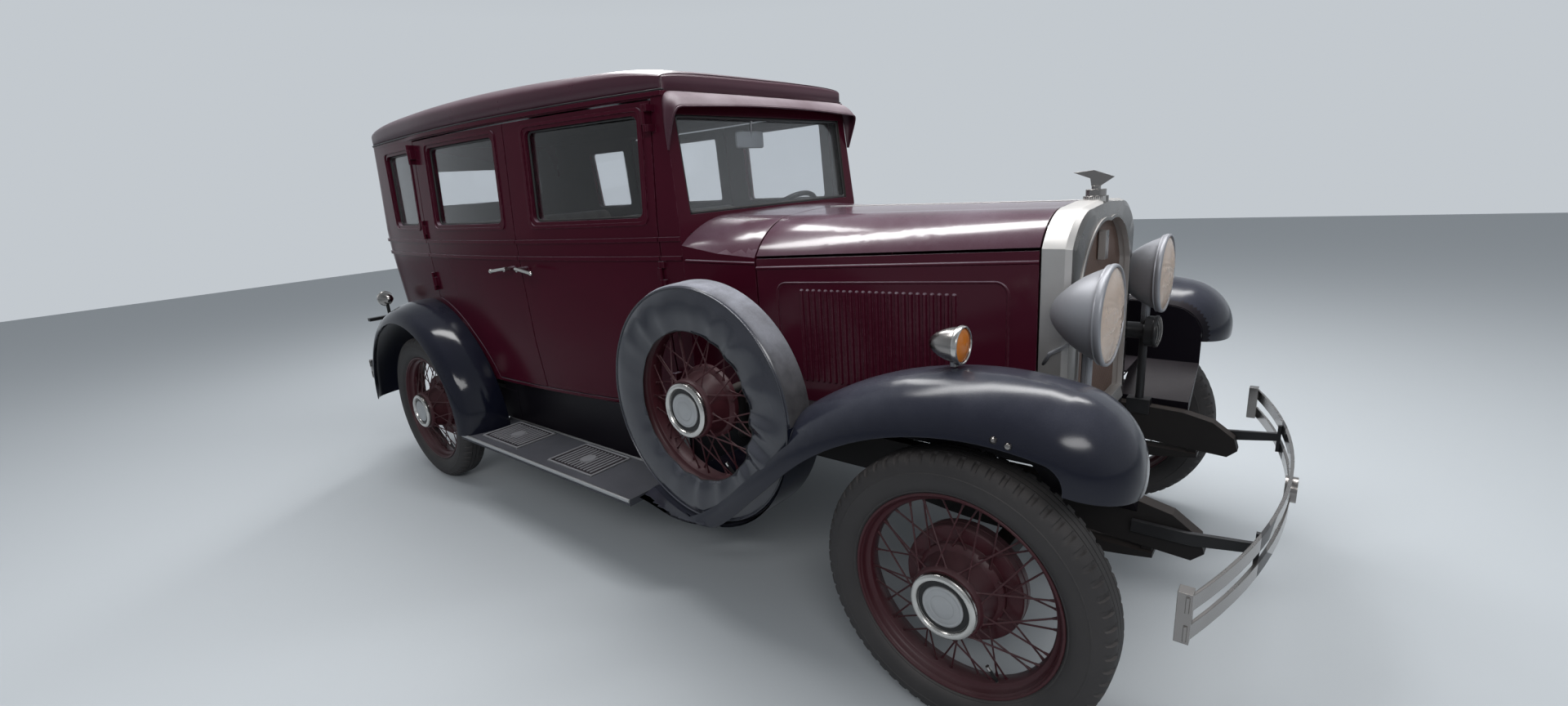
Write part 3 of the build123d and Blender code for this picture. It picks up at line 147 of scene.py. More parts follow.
mask = maths(wearAndGlintGroup, "MULTIPLY", maths(wearAndGlintGroup, "MULTIPLY", edge, holes), given["Amount"], clamp=True)
fill(wearAndGlintGroup, out, {
    "Colour": mixColour(wearAndGlintGroup, mask, given["Colour"], given["Bare And Glint Colour"]), "Mask": mask,
})

# a normal that turns softly over hard edges
edgeGroup, given, out = newGroup("softEdge", {"Radius": 0.002}, {"Normal": "Vector"})
feed(edgeGroup, out["Normal"], put(edgeGroup, "Bevel", {"Radius": given["Radius"]}, samples=4)["Normal"])

# slow change of colour and gloss over a surface
cloudGroup, given, out = newGroup(
    "unevenFinish",
    {
        "Colour": (0.1, 0.1, 0.1, 1), "Other Colour": (0.12, 0.1, 0.1, 1), "Size": 3.0, "Roughness": 0.3,
        "Roughness Spread": 0.1, "Grain": 500.0,
    },
    {"Colour": "Color", "Roughness": "Float", "Height": "Float"},
)
cloud = noiseOn(cloudGroup, given["Size"], 5.0, 0.6)
shift = maths(cloudGroup, "MULTIPLY", maths(cloudGroup, "SUBTRACT", cloud, 0.5), given["Roughness Spread"])
fill(cloudGroup, out, {
    "Colour": mixColour(cloudGroup, cloud, given["Colour"], given["Other Colour"]),
    "Roughness": maths(cloudGroup, "ADD", given["Roughness"], shift, clamp=True),
    "Height": noiseOn(cloudGroup, given["Grain"], 2.0),
})

# two crossing sets of threads
weaveGroup, given, out = newGroup(
    "clothWeave", {"Colour": (0.1, 0.1, 0.1, 1), "Other Colour": (0.2, 0.2, 0.2, 1), "Threads": 700.0},
    {"Colour": "Color", "Height": "Float"},
)
threads = [
    put(
        weaveGroup, "TexWave", {
            "Vector": put(weaveGroup, "TexCoord")["Object"], "Scale": given["Threads"], "Distortion": 1.2,
            "Detail": 1.0,
        },
        wave_type="BANDS", bands_direction=way,
    )["Fac"] for way in ("Y", "DIAGONAL")
]
height = maths(weaveGroup, "MAXIMUM", *threads)
fill(weaveGroup, out, {
    "Colour": mixColour(weaveGroup, height, given["Colour"], given["Other Colour"]), "Height": height,
})
print("node groups built")


# materials: what a user would change, then one builder; a finish lists only what differs from the usual;
# colour and other lie in slow patches; the edge colour shows where edges are worn, and on the body and hood paints it
# is a painted highlight;
# the top colour lies on top and thinly everywhere as dust, and on the body, hood and front fender paints it is partly
# a painted sheen
usual = dict(
    spread=0.2, coat=0.0, grain=260.0, wearAndGlint=0.3, metallic=0.0, specular=0.5, size=3.5, patch=4.0, softEdge=0.0025,
    bumpDeep=0.002, dustRough=0.45, coatRough=0.08,
)
finishes = dict(
    # body paint: the lighter top colour is partly dust and partly a painted highlight on the tops of mouldings and
    # ledges; the pink edge colour is a painted highlight along the mouldings
    bodyPaint=dict(
        colour=(0.056, 0.0046, 0.014), other=(0.043, 0.0042, 0.0115), rough=0.18, spread=0.1, bump=0.01,
        dustAndSheen=(0.62, 0.55, 0.64), dustAndSheenAmount=0.6, everywhere=0.002, bareAndGlint=(0.3, 0.15, 0.19), wearAndGlint=0.45, specular=0.085,
    ),
    # hood sides: the body paint made lighter, painted light making up for the shade the hood sides lie in; its top
    # colour is partly dust and partly a painted highlight, and its pink edge colour a painted highlight, as on the
    # body paint
    hoodSideLightenedPaint=dict(
        colour=(0.066, 0.006, 0.0175), other=(0.052, 0.0054, 0.0145), rough=0.18, spread=0.1, bump=0.01,
        dustAndSheen=(0.62, 0.55, 0.64), dustAndSheenAmount=0.6, everywhere=0.006, bareAndGlint=(0.3, 0.15, 0.19), wearAndGlint=0.45, specular=0.27,
    ),
    # hood tops and cowl: the lighter top colour is partly dust and partly a painted highlight on the hood top; the
    # pink edge colour is a painted highlight along the edges
    hoodPaint=dict(
        colour=(0.06, 0.0068, 0.019), other=(0.046, 0.006, 0.0155), rough=0.15, spread=0.12, coat=0.45, bump=0.01,
        dustAndSheen=(0.56, 0.5, 0.6), dustAndSheenAmount=0.25, everywhere=0.005, bareAndGlint=(0.34, 0.18, 0.23), wearAndGlint=0.45,
    ),
    roofPaint=dict(
        colour=(0.06, 0.014, 0.026), other=(0.044, 0.011, 0.021), rough=0.3, grain=420.0, bump=0.03,
        dustAndSheen=(0.36, 0.32, 0.345), dustAndSheenAmount=0.24, everywhere=0.015, bareAndGlint=(0.13, 0.08, 0.09), wearAndGlint=0.25,
        specular=0.42, patch=14.0,
    ),
    visorPaint=dict(
        colour=(0.06, 0.014, 0.026), other=(0.044, 0.011, 0.021), rough=0.36, spread=0.16, grain=420.0, bump=0.02,
        dustAndSheen=(0.5, 0.45, 0.48), dustAndSheenAmount=0.7, everywhere=0.03, bareAndGlint=(0.2, 0.12, 0.14), wearAndGlint=0.45, specular=0.34,
    ),
    # front fenders: the lighter top colour is partly dust and partly a painted sheen on the crown
    fenderPaint=dict(
        colour=(0.004, 0.0048, 0.0125), other=(0.006, 0.0068, 0.015), rough=0.17, spread=0.1, bump=0.007,
        dustAndSheen=(0.33, 0.34, 0.41), dustAndSheenAmount=0.2, everywhere=0.002, bareAndGlint=(0.09, 0.09, 0.1), specular=0.36,
    ),
    rearFenderPaint=dict(
        colour=(0.0042, 0.005, 0.0125), other=(0.0064, 0.0072, 0.0145), rough=0.11, spread=0.08, bump=0.006,
        dustAndSheen=(0.3, 0.31, 0.39), dustAndSheenAmount=0.08, everywhere=0.003, bareAndGlint=(0.09, 0.09, 0.1), specular=0.3,
    ),
    apronPaint=dict(
        colour=(0.0042, 0.0034, 0.0056), other=(0.0064, 0.005, 0.008), rough=0.34, bump=0.02,
        dustAndSheen=(0.16, 0.14, 0.15), dustAndSheenAmount=0.3, everywhere=0.01, bareAndGlint=(0.06, 0.05, 0.05), wearAndGlint=0.2, specular=0.1,
    ),
    framePaint=dict(
        colour=(0.0075, 0.0072, 0.0078), other=(0.013, 0.0115, 0.011), rough=0.55, spread=0.25, grain=180.0, bump=0.1,
        dustAndSheen=(0.13, 0.105, 0.095), dustAndSheenAmount=0.4, everywhere=0.05, bareAndGlint=(0.07, 0.045, 0.035), wearAndGlint=0.4, specular=0.2,
    ),
    wheelPaint=dict(
        colour=(0.054, 0.01, 0.015), other=(0.036, 0.008, 0.011), rough=0.34, grain=240.0, bump=0.03,
        dustAndSheen=(0.22, 0.17, 0.175), dustAndSheenAmount=0.34, everywhere=0.03, bareAndGlint=(0.14, 0.1, 0.095), wearAndGlint=0.4, specular=0.25,
    ),
    lampPaint=dict(
        colour=(0.32, 0.325, 0.35), other=(0.24, 0.245, 0.265), rough=0.4, spread=0.22, bump=0.02,
        dustAndSheen=(0.58, 0.58, 0.61), dustAndSheenAmount=0.42, everywhere=0.06, bareAndGlint=(0.42, 0.42, 0.43), wearAndGlint=0.4, metallic=0.45,
        specular=0.4,
    ),
    chromePlate=dict(
        colour=(0.66, 0.65, 0.63), other=(0.5, 0.49, 0.47), rough=0.17, spread=0.22, grain=320.0, bump=0.012,
        dustAndSheen=(0.42, 0.4, 0.38), dustAndSheenAmount=0.28, everywhere=0.06, bareAndGlint=(0.3, 0.22, 0.17), metallic=1.0,
    ),
    nickelShell=dict(
        colour=(0.62, 0.605, 0.59), other=(0.42, 0.405, 0.39), rough=0.31, spread=0.34, grain=320.0, bump=0.02,
        dustAndSheen=(0.64, 0.62, 0.605), dustAndSheenAmount=0.3, everywhere=0.54, bareAndGlint=(0.3, 0.24, 0.2), wearAndGlint=0.45, metallic=0.85,
        size=6.0,
    ),
    rimPlate=dict(
        colour=(0.34, 0.325, 0.315), other=(0.25, 0.235, 0.225), rough=0.2, spread=0.24, grain=320.0, bump=0.015,
        dustAndSheen=(0.38, 0.35, 0.33), dustAndSheenAmount=0.28, everywhere=0.05, bareAndGlint=(0.22, 0.16, 0.12), metallic=1.0,
    ),
    # a darker copy of the nickel shell for the radiator's front face: a painted dark reflection of the floor
    shellFaceDarkReflection=dict(
        colour=(0.21, 0.2, 0.192), other=(0.145, 0.137, 0.13), rough=0.26, spread=0.24, grain=320.0, bump=0.015,
        dustAndSheen=(0.3, 0.28, 0.265), dustAndSheenAmount=0.28, everywhere=0.06, bareAndGlint=(0.18, 0.13, 0.1), wearAndGlint=0.4, metallic=1.0,
    ),
    ironCast=dict(
        colour=(0.05, 0.055, 0.05), other=(0.08, 0.065, 0.05), rough=0.7, spread=0.25, grain=120.0, bump=0.25,
        dustAndSheen=(0.2, 0.17, 0.15), dustAndSheenAmount=0.5, everywhere=0.18, bareAndGlint=(0.14, 0.11, 0.09), wearAndGlint=0.4, metallic=0.3,
    ),
    tyreRubber=dict(
        colour=(0.0225, 0.0218, 0.0232), other=(0.034, 0.0325, 0.033), rough=0.64, grain=420.0, bump=0.1,
        dustAndSheen=(0.185, 0.168, 0.162), dustAndSheenAmount=0.5, everywhere=0.13, bareAndGlint=(0.07, 0.066, 0.063), wearAndGlint=0.5,
        specular=0.25,
    ),
    boardRubber=dict(
        colour=(0.034, 0.036, 0.044), other=(0.052, 0.053, 0.062), rough=0.62, grain=380.0, bump=0.12,
        dustAndSheen=(0.3, 0.3, 0.34), dustAndSheenAmount=0.18, everywhere=0.03, bareAndGlint=(0.1, 0.1, 0.1), specular=0.25,
    ),
    stepMetal=dict(
        colour=(0.4, 0.4, 0.4), other=(0.26, 0.26, 0.26), rough=0.34, spread=0.25, bump=0.05,
        dustAndSheen=(0.3, 0.29, 0.29), dustAndSheenAmount=0.4, everywhere=0.1, bareAndGlint=(0.5, 0.5, 0.5), wearAndGlint=0.5, metallic=0.9,
    ),
    coverVinyl=dict(
        colour=(0.0105, 0.0115, 0.019), other=(0.016, 0.017, 0.026), rough=0.2, spread=0.16, grain=900.0, bump=0.05,
        dustAndSheen=(0.34, 0.35, 0.42), dustAndSheenAmount=0.34, everywhere=0.03, bareAndGlint=(0.07, 0.07, 0.08), wearAndGlint=0.1, specular=0.75,
    ),
    coverTread=dict(
        colour=(0.014, 0.013, 0.0145), other=(0.076, 0.071, 0.073), rough=0.62, grain=300.0, bump=0.3,
        dustAndSheen=(0.36, 0.37, 0.42), dustAndSheenAmount=0.92, everywhere=0.06, bareAndGlint=(0.07, 0.07, 0.08), specular=0.2, size=34.0,
        patch=16.0,
    ),
    ribRubber=dict(
        colour=(0.16, 0.16, 0.172), other=(0.24, 0.24, 0.25), rough=0.5, grain=380.0, bump=0.1,
        dustAndSheen=(0.34, 0.34, 0.37), dustAndSheenAmount=0.3, everywhere=0.05, bareAndGlint=(0.3, 0.3, 0.31), wearAndGlint=0.4, specular=0.3,
        size=30.0,
    ),
    blackPaint=dict(
        colour=(0.007, 0.007, 0.008), other=(0.013, 0.013, 0.014), rough=0.38, coat=0.1, grain=240.0, bump=0.03,
        dustAndSheen=(0.18, 0.18, 0.19), dustAndSheenAmount=0.35, everywhere=0.04, bareAndGlint=(0.1, 0.1, 0.1), wearAndGlint=0.4, specular=0.25,
    ),
    cabinTrim=dict(
        colour=(0.085, 0.075, 0.068), other=(0.06, 0.053, 0.047), rough=0.85, spread=0.1, grain=700.0, bump=0.2,
        dustAndSheen=(0.2, 0.19, 0.18), dustAndSheenAmount=0.2, everywhere=0.05, bareAndGlint=(0.13, 0.12, 0.11), wearAndGlint=0.1, specular=0.2,
    ),
    capSilver=dict(
        colour=(0.46, 0.47, 0.48), other=(0.34, 0.35, 0.36), rough=0.42, grain=300.0, bump=0.03,
        dustAndSheen=(0.4, 0.39, 0.38), dustAndSheenAmount=0.3, everywhere=0.1, bareAndGlint=(0.25, 0.22, 0.2), metallic=0.7,
    ),
    hardRubber=dict(
        colour=(0.01, 0.01, 0.01), other=(0.018, 0.017, 0.017), rough=0.36, spread=0.15, coat=0.2, grain=300.0,
        bump=0.02, dustAndSheen=(0.22, 0.21, 0.2), dustAndSheenAmount=0.3, everywhere=0.03, bareAndGlint=(0.05, 0.05, 0.05), specular=0.3,
    ),
)


def newMaterial(name):
    material = bpy.data.materials.new(name)
    material.use_nodes = True
    return material, material.node_tree, material.node_tree.nodes["Principled BSDF"].inputs


def withDustAndSheen(tree, colour, dustAndSheenColour, amount, everywhere, patch=4.0):
    return put(tree, "Group", {
        "Colour": colour, "Dust And Sheen Colour": (*dustAndSheenColour, 1), "Amount": amount, "Everywhere": everywhere,
        "Patch Size": patch,
    }, node_tree=dustAndSheenGroup)


def makeFinish(name, f):
    f = {**usual, **f}
    material, tree, shader = newMaterial(name)
    cloud = put(tree, "Group", {
        "Colour": (*f["colour"], 1), "Other Colour": (*f["other"], 1), "Size": f["size"], "Roughness": f["rough"],
        "Roughness Spread": f["spread"], "Grain": f["grain"],
    }, node_tree=cloudGroup)
    # the edge colour is wear, and on the body and hood paints a painted highlight; the top colour below is dust, and
    # on the body, hood and front fender paints partly a painted sheen
    wearAndGlint = put(tree, "Group", {
        "Colour": cloud["Colour"], "Bare And Glint Colour": (*f["bareAndGlint"], 1), "Amount": f["wearAndGlint"],
    }, node_tree=wearAndGlintGroup)
    dustAndSheen = withDustAndSheen(tree, wearAndGlint["Colour"], f["dustAndSheen"], f["dustAndSheenAmount"], f["everywhere"], f["patch"])
    dusty = maths(tree, "MULTIPLY", dustAndSheen["Mask"], f["dustRough"])
    soft = put(tree, "Group", {"Radius": f["softEdge"]}, node_tree=edgeGroup)
    fill(tree, shader, {
        "Base Color": dustAndSheen["Colour"], "Roughness": maths(tree, "ADD", cloud["Roughness"], dusty, clamp=True),
        "Normal": put(tree, "Bump", {
            "Height": cloud["Height"], "Strength": f["bump"], "Distance": f["bumpDeep"],
            "Normal": soft["Normal"],
        })["Normal"],
        "Metallic": f["metallic"], "Specular IOR Level": f["specular"],
    })
    if f["coat"]:
        clean = maths(tree, "SUBTRACT", 1.0, dustAndSheen["Mask"])
        coat = maths(tree, "MULTIPLY", clean, f["coat"])
        fill(tree, shader, {"Coat Weight": coat, "Coat Roughness": f["coatRough"]})
    return material


finish = {name: makeFinish(name, values) for name, values in finishes.items()}

glasses = dict(
    windowGlass=dict(tint=(0.985, 0.99, 1.0), rough=0.01, film=0.04, dustAndSheen=(0.5, 0.5, 0.5), clear=1.0),
    screenGlass=dict(tint=(0.9, 0.925, 0.95), rough=0.012, film=0.04, dustAndSheen=(0.5, 0.5, 0.5), clear=0.965),
    clearLens=dict(tint=(0.96, 0.8, 0.68), rough=0.1, film=0.25, dustAndSheen=(0.8, 0.6, 0.5), clear=0.55),
    amberLens=dict(tint=(0.9, 0.3, 0.03), rough=0.15, film=0.1, dustAndSheen=(0.6, 0.3, 0.1), clear=0.5),
    redLens=dict(tint=(0.55, 0.015, 0.015), rough=0.15, film=0.1, dustAndSheen=(0.4, 0.1, 0.1), clear=0.5),
)
for name, v in glasses.items():
    finish[name], tree, shader = newMaterial(name)
    fill(tree, shader, {
        "Roughness": ranged(tree, noiseOn(tree, 7.0, 6.0), 0.35, 0.75, v["rough"], v["rough"] + v["film"]),
        "Base Color": withDustAndSheen(tree, (*v["tint"], 1), v["dustAndSheen"], 0.1, 0.06)["Colour"],
        "Transmission Weight": v["clear"], "IOR": 1.45,
    })

# radiator core: deep is the painted shade in the openings of the cells, colour is the cell walls
coreValues = dict(colour=(0.16, 0.088, 0.062), deep=(0.014, 0.009, 0.008), dustAndSheen=(0.25, 0.2, 0.17), cells=85.0)
finish["coreMesh"], tree, shader = newMaterial("coreMesh")
turned = put(tree, "Mapping", {
    "Vector": put(tree, "TexCoord")["Object"], "Rotation": (math.radians(45), 0, 0),
    "Scale": (1.0, coreValues["cells"], coreValues["cells"]),
})["Vector"]
cells = put(
    tree, "TexVoronoi", {"Vector": turned, "Scale": 1.0, "Randomness": 0.0}, voronoi_dimensions="3D",
    distance="CHEBYCHEV",
)["Distance"]
# the middle of each cell takes the painted shade
wall = ranged(tree, cells, 0.28, 0.42)
mixed = mixColour(tree, wall, (*coreValues["deep"], 1), (*coreValues["colour"], 1))
fill(tree, shader, {
    "Base Color": withDustAndSheen(tree, mixed, coreValues["dustAndSheen"], 0.2, 0.12)["Colour"],
    "Normal": put(tree, "Bump", {"Height": wall, "Strength": 0.9, "Distance": 0.004})["Normal"],
    "Metallic": 0.3, "Roughness": 0.5,
})

seatValues = dict(colour=(0.16, 0.125, 0.095), other=(0.095, 0.075, 0.058), dustAndSheen=(0.3, 0.28, 0.26), threads=420.0)
finish["seatCloth"], tree, shader = newMaterial("seatCloth")
weave = put(tree, "Group", {
    "Colour": (*seatValues["colour"], 1), "Other Colour": (*seatValues["other"], 1), "Threads": seatValues["threads"],
}, node_tree=weaveGroup)
fill(tree, shader, {
    "Base Color": withDustAndSheen(tree, weave["Colour"], seatValues["dustAndSheen"], 0.25, 0.05)["Colour"],
    "Normal": put(tree, "Bump", {"Height": weave["Height"], "Strength": 0.3, "Distance": 0.001})["Normal"],
    "Roughness": 0.9, "Sheen Weight": 0.3,
})
print("materials built,", len(finish))


# finishes on the CAD nodes, by face where one node has more than one
def dress(node, base, *rules):
    mesh = cadNodes[node].data
    mesh.materials.clear()
    for name in (base, *[name for name, test in rules]):
        mesh.materials.append(finish[name])
    for p in mesh.polygons:
        fits = (k + 1 for k, (name, test) in enumerate(rules) if test(p.center, p.normal))
        p.material_index = next(fits, 0)


plain = dict(
    frame="framePaint", axles="framePaint", leaf_springs="framePaint", powertrain="ironCast",
    radiator_core="coreMesh", body_glass="screenGlass", sun_visor="roofPaint", floor="cabinTrim", seats="seatCloth",
    hood_top_right="hoodPaint", hood_top_left="hoodPaint", rear_fenders="rearFenderPaint",
    spare_tyres="tyreRubber", spare_wheels="wheelPaint", spare_covers="coverVinyl", lamp_lenses="clearLens",
    steering_column="hardRubber", steering_wheel="hardRubber", knuckle_right="framePaint", knuckle_left="framePaint",
)
# limits between the finishes of one node; x is counted from the front axle, but shellFaceDarkReflection and clampX are the frame's
# own x, tailRimX is counted from the rear axle, and lining from the body's back
limits = dict(
    shellFaceDarkReflection=1.653, shellLow=0.62, capZ=1.232, cowlZ=1.125, hoodRodZ=1.222, hornApronY=0.548, boardZ=0.330,
    beadY=0.8205, apronY=0.59, plateX=(-2.070, -1.550), plateY=0.690, plateHalf=(0.138, 0.086), seamX=-1.885,
    handleReach=0.165, handleZ=(1.02, 1.09), handleY=0.668, lining=0.11, clampY=0.358, clampHalf=0.04, clampX=2.135,
    headLampX=0.15, headLampZ=0.84, headLampAt=(0.338, 0.971), headRimInner=0.110, headRimX=0.200, sideLampZ=0.9,
    sideLampHalf=0.1, sideRimX=-0.016, tailRimX=-0.478, tailLampZ=0.82, stalkX=0.16, stalkZ=0.845, postZ=0.70,
    hornY=0.25,
)
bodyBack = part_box("body_shell")[0].x
boardTop = limits["boardZ"]


def innerFace(c, n):
    inBack = c.x < bodyBack + limits["lining"] and n.x > 0.6
    return inBack or n.y * (1 if c.y > 0 else -1) < -0.6


def doorHandle(c, n):
    v = limits
    near = abs(c.x - axleX - v["seamX"]) < v["handleReach"] and abs(c.y) > v["handleY"]
    return near and v["handleZ"][0] < c.z < v["handleZ"][1]


def onPlate(c):
    # the two step plates of each board, inside their frames
    halfLong, halfWide = limits["plateHalf"]
    along = min(abs(c.x - axleX - x) for x in limits["plateX"])
    return along < halfLong and abs(abs(c.y) - limits["plateY"]) < halfWide


def lampRim(c, n):
    v, x, y = limits, c.x - axleX, abs(c.y)
    if x > v["headLampX"] and c.z > v["headLampZ"]:
        lampY, lampZ = v["headLampAt"]
        return math.hypot(y - lampY, c.z - lampZ) > v["headRimInner"] and x > v["headRimX"]
    if abs(x) < v["sideLampHalf"] and c.z > v["sideLampZ"]:
        return x > v["sideRimX"]
    return c.x - rearX < v["tailRimX"] and c.z > v["tailLampZ"]


def lampStalk(c, n):
    v = limits
    onStalk = c.z < v["stalkZ"] and c.x - axleX < v["stalkX"]
    return onStalk or c.z < v["postZ"] or (c.y > v["hornY"] and c.z < v["headLampZ"])


def bumperClamp(c, n):
    return abs(abs(c.y) - limits["clampY"]) < limits["clampHalf"] and abs(c.x) < limits["clampX"]


for word, side, spin in sides:
    for end in ("front", "rear"):
        dress(end + "_door_" + word, "bodyPaint", ("chromePlate", doorHandle), ("cabinTrim", innerFace))
        plain[end + "_glass_" + word] = "windowGlass"
        plain["wheel_" + end + "_" + word] = "wheelPaint"
        plain["tyre_" + end + "_" + word] = "tyreRubber"
for node, name in plain.items():
    dress(node, name)
# the radiator shell's front face takes the darker copy of the nickel, a painted dark reflection
dress(
    "radiator_shell", "nickelShell",
    ("shellFaceDarkReflection", lambda c, n: c.x > limits["shellFaceDarkReflection"] and n.x > 0.3 and limits["shellLow"] < c.z < limits["capZ"]),
    ("rimPlate", lambda c, n: c.z > limits["capZ"]),
)
dress(
    "cowl", "hoodPaint", ("cabinTrim", lambda c, n: n.x < -0.6), ("bodyPaint", lambda c, n: c.z < limits["cowlZ"]),
)
dress("body_shell", "bodyPaint", ("cabinTrim", innerFace))
dress("roof", "roofPaint", ("cabinTrim", lambda c, n: n.z < -0.3))
# the hood sides take the lightened copy of the body paint, painted light making up for their shade
dress("hood_sides", "hoodSideLightenedPaint", ("stepMetal", lambda c, n: c.z > limits["hoodRodZ"]))
dress("front_fenders", "fenderPaint", ("apronPaint", lambda c, n: abs(c.y) < limits["hornApronY"]))
dress(
    "running_boards", "apronPaint",
    ("blackPaint", lambda c, n: onPlate(c) and c.z < boardTop + 0.0024),
    ("capSilver", lambda c, n: c.z > boardTop - 0.012 and abs(c.y) > limits["beadY"]),
    ("stepMetal", lambda c, n: boardTop + 0.0005 < c.z < boardTop + 0.007 or abs(c.y) > limits["beadY"]),
    ("boardRubber", lambda c, n: c.z > boardTop - 0.03 and abs(c.y) > limits["apronY"]),
)
dress("lamps", "lampPaint", ("chromePlate", lampRim), ("blackPaint", lampStalk))
dress("bumpers", "rimPlate", ("blackPaint", bumperClamp))
print("CAD nodes dressed")


# mesh helpers: bits holds points, faces and the finish number of each face
def newBits():
    return {"points": [], "faces": [], "finish": []}


def reworked(mesh, change):
    work = bmesh.new()
    work.from_mesh(mesh)
    change(work)
    work.to_mesh(mesh)
    work.free()


def shade(mesh, sharpAngle):
    mesh.polygons.foreach_set("use_smooth", [True] * len(mesh.polygons))
    mesh.set_sharp_from_angle(angle=math.radians(sharpAngle))


def addRings(bits, rings, number=0, closed=True, loop=False, ends=()):
    # joins rings of points in order; ends gives the finishes of a first and a last face
    first, count = len(bits["points"]), len(rings[0])
    for ring in rings:
        bits["points"] += ring
    for k in range(len(rings) if loop else len(rings) - 1):
        a, b = first + k * count, first + (k + 1) % len(rings) * count
        for i in range(count if closed else count - 1):
            j = (i + 1) % count
            bits["faces"].append((a + i, a + j, b + j, b + i))
            bits["finish"].append(number)
    if ends:
        last = len(bits["points"]) - count
        bits["faces"] += [tuple(range(first, first + count))[::-1], tuple(range(last, last + count))]
        bits["finish"] += ends


def spun(profile, angle):
    # profile points are (radius, outward); the axis is Y and outward is -Y
    return [(radius * math.cos(angle), -outward, radius * math.sin(angle)) for radius, outward in profile]


def turnProfile(bits, profile, segments, number=0, closed=True):
    rings = [spun(profile, 2 * math.pi * k / segments) for k in range(segments)]
    addRings(bits, rings, number, closed, loop=True)


def circleAt(at, radius, sideWay, otherWay, sides):
    angles = [2 * math.pi * k / sides for k in range(sides)]
    return [tuple(at + radius * (math.cos(angle) * sideWay + math.sin(angle) * otherWay)) for angle in angles]


def addRod(bits, start, end, radius, endRadius=None, sides=8, number=0):
    start, end = Vector(start), Vector(end)
    way = (end - start).normalized()
    sideWay = way.orthogonal().normalized()
    rings = [
        circleAt(at, r, sideWay, way.cross(sideWay), sides)
        for at, r in ((start, radius), (end, radius if endRadius is None else endRadius))
    ]
    addRings(bits, rings, number, ends=[number, number])


def addTube(bits, path, radius, sides=8, number=0, loop=False):
    path = [Vector(p) for p in path]
    count = len(path)
    sideWay = (path[1] - path[0]).orthogonal().normalized()
    rings = []
    for i, at in enumerate(path):
        before = path[i - 1] if i or loop else path[0]
        following = path[(i + 1) % count] if i < count - 1 or loop else path[-1]
        way = (following - before).normalized()
        sideWay = (sideWay - way * sideWay.dot(way)).normalized()
        rings.append(circleAt(at, radius, sideWay, way.cross(sideWay), sides))
    addRings(bits, rings, number, loop=loop, ends=() if loop else [number, number])


def closeUp(work):
    bmesh.ops.remove_doubles(work, verts=work.verts, dist=0.00001)
    bmesh.ops.recalc_face_normals(work, faces=work.faces)


def bitsToMesh(name, bits, finishNames, sharpAngle=35):
    mesh = bpy.data.meshes.new(name)
    mesh.from_pydata(bits["points"], [], bits["faces"])
    for finishName in finishNames:
        mesh.materials.append(finish[finishName])
    mesh.polygons.foreach_set("material_index", bits["finish"])
    reworked(mesh, closeUp)
    shade(mesh, sharpAngle)
    return mesh


def standPiece(name, mesh, recordSlot, body="chassis", at=(0, 0, 0), spin=0.0, stands=()):
    piece = bpy.data.objects.new(name, mesh)
    piece.location = at
    piece.rotation_euler = (0, 0, spin)
    bpy.context.scene.collection.objects.link(piece)
    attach(piece, body)
    if stands:
        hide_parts(*stands)
    return piece


def curveThrough(points, count):
    # evenly counted points on a soft curve through the given ones
    spots = [Vector(p) for p in points]
    spots = [spots[0] * 2 - spots[1]] + spots + [spots[-1] * 2 - spots[-2]]
    out = []
    for k in range(count):
        t = k / (count - 1) * (len(points) - 1)
        i = min(int(t), len(points) - 2)
        t -= i
        a, b, c, d = spots[i:i + 4]
        out.append(
            0.5 * (2 * b + (c - a) * t + (2 * a - 5 * b + 4 * c - d) * t * t + (3 * b - a - 3 * c + d) * t ** 3)
        )
    return out


def circleThrough(points):
    # centre and radius, the points as x from the front axle and y
    a, b, c = [Vector((axleX + x, y)) for x, y in points]
    d = 2 * (a.x * (b.y - c.y) + b.x * (c.y - a.y) + c.x * (a.y - b.y))
    sa, sb, sc = a.length_squared, b.length_squared, c.length_squared
    cx = (sa * (b.y - c.y) + sb * (c.y - a.y) + sc * (a.y - b.y)) / d
    cy = (sa * (c.x - b.x) + sb * (a.x - c.x) + sc * (b.x - a.x)) / d
    return Vector((cx, cy)), math.hypot(a.x - cx, a.y - cy)


def halfWidth(circle, x):
    centre, radius = circle
    return centre.y + math.sqrt(max(0.0, radius ** 2 - (x - centre.x) ** 2))


def roundedLoop(x0, x1, z0, z1, radius, steps=7, along=12):
    corners = (
        (x1 - radius, z1 - radius, 0), (x0 + radius, z1 - radius, 90), (x0 + radius, z0 + radius, 180),
        (x1 - radius, z0 + radius, 270),
    )
    loop = []
    for index, (cx, cz, start) in enumerate(corners):
        for k in range(steps + 1):
            angle = math.radians(start + 90 * k / steps)
            loop.append((cx + radius * math.cos(angle), cz + radius * math.sin(angle)))
        nx, nz, nextStart = corners[(index + 1) % 4]
        angle = math.radians(nextStart)
        end = (nx + radius * math.cos(angle), nz + radius * math.sin(angle))
        last = loop[-1]
        for k in range(1, along):
            loop.append((last[0] + (end[0] - last[0]) * k / along, last[1] + (end[1] - last[1]) * k / along))
    return loop


def easeStep(value):
    value = max(0.0, min(1.0, value))
    return value * value * (3 - 2 * value)


# the nodes of sheet metal and glass, copied with their facets joined so that they shade as one surface
def joinFacets(work):
    bmesh.ops.remove_doubles(work, verts=work.verts, dist=0.00002)
    bmesh.ops.dissolve_degenerate(work, edges=work.edges, dist=0.00001)


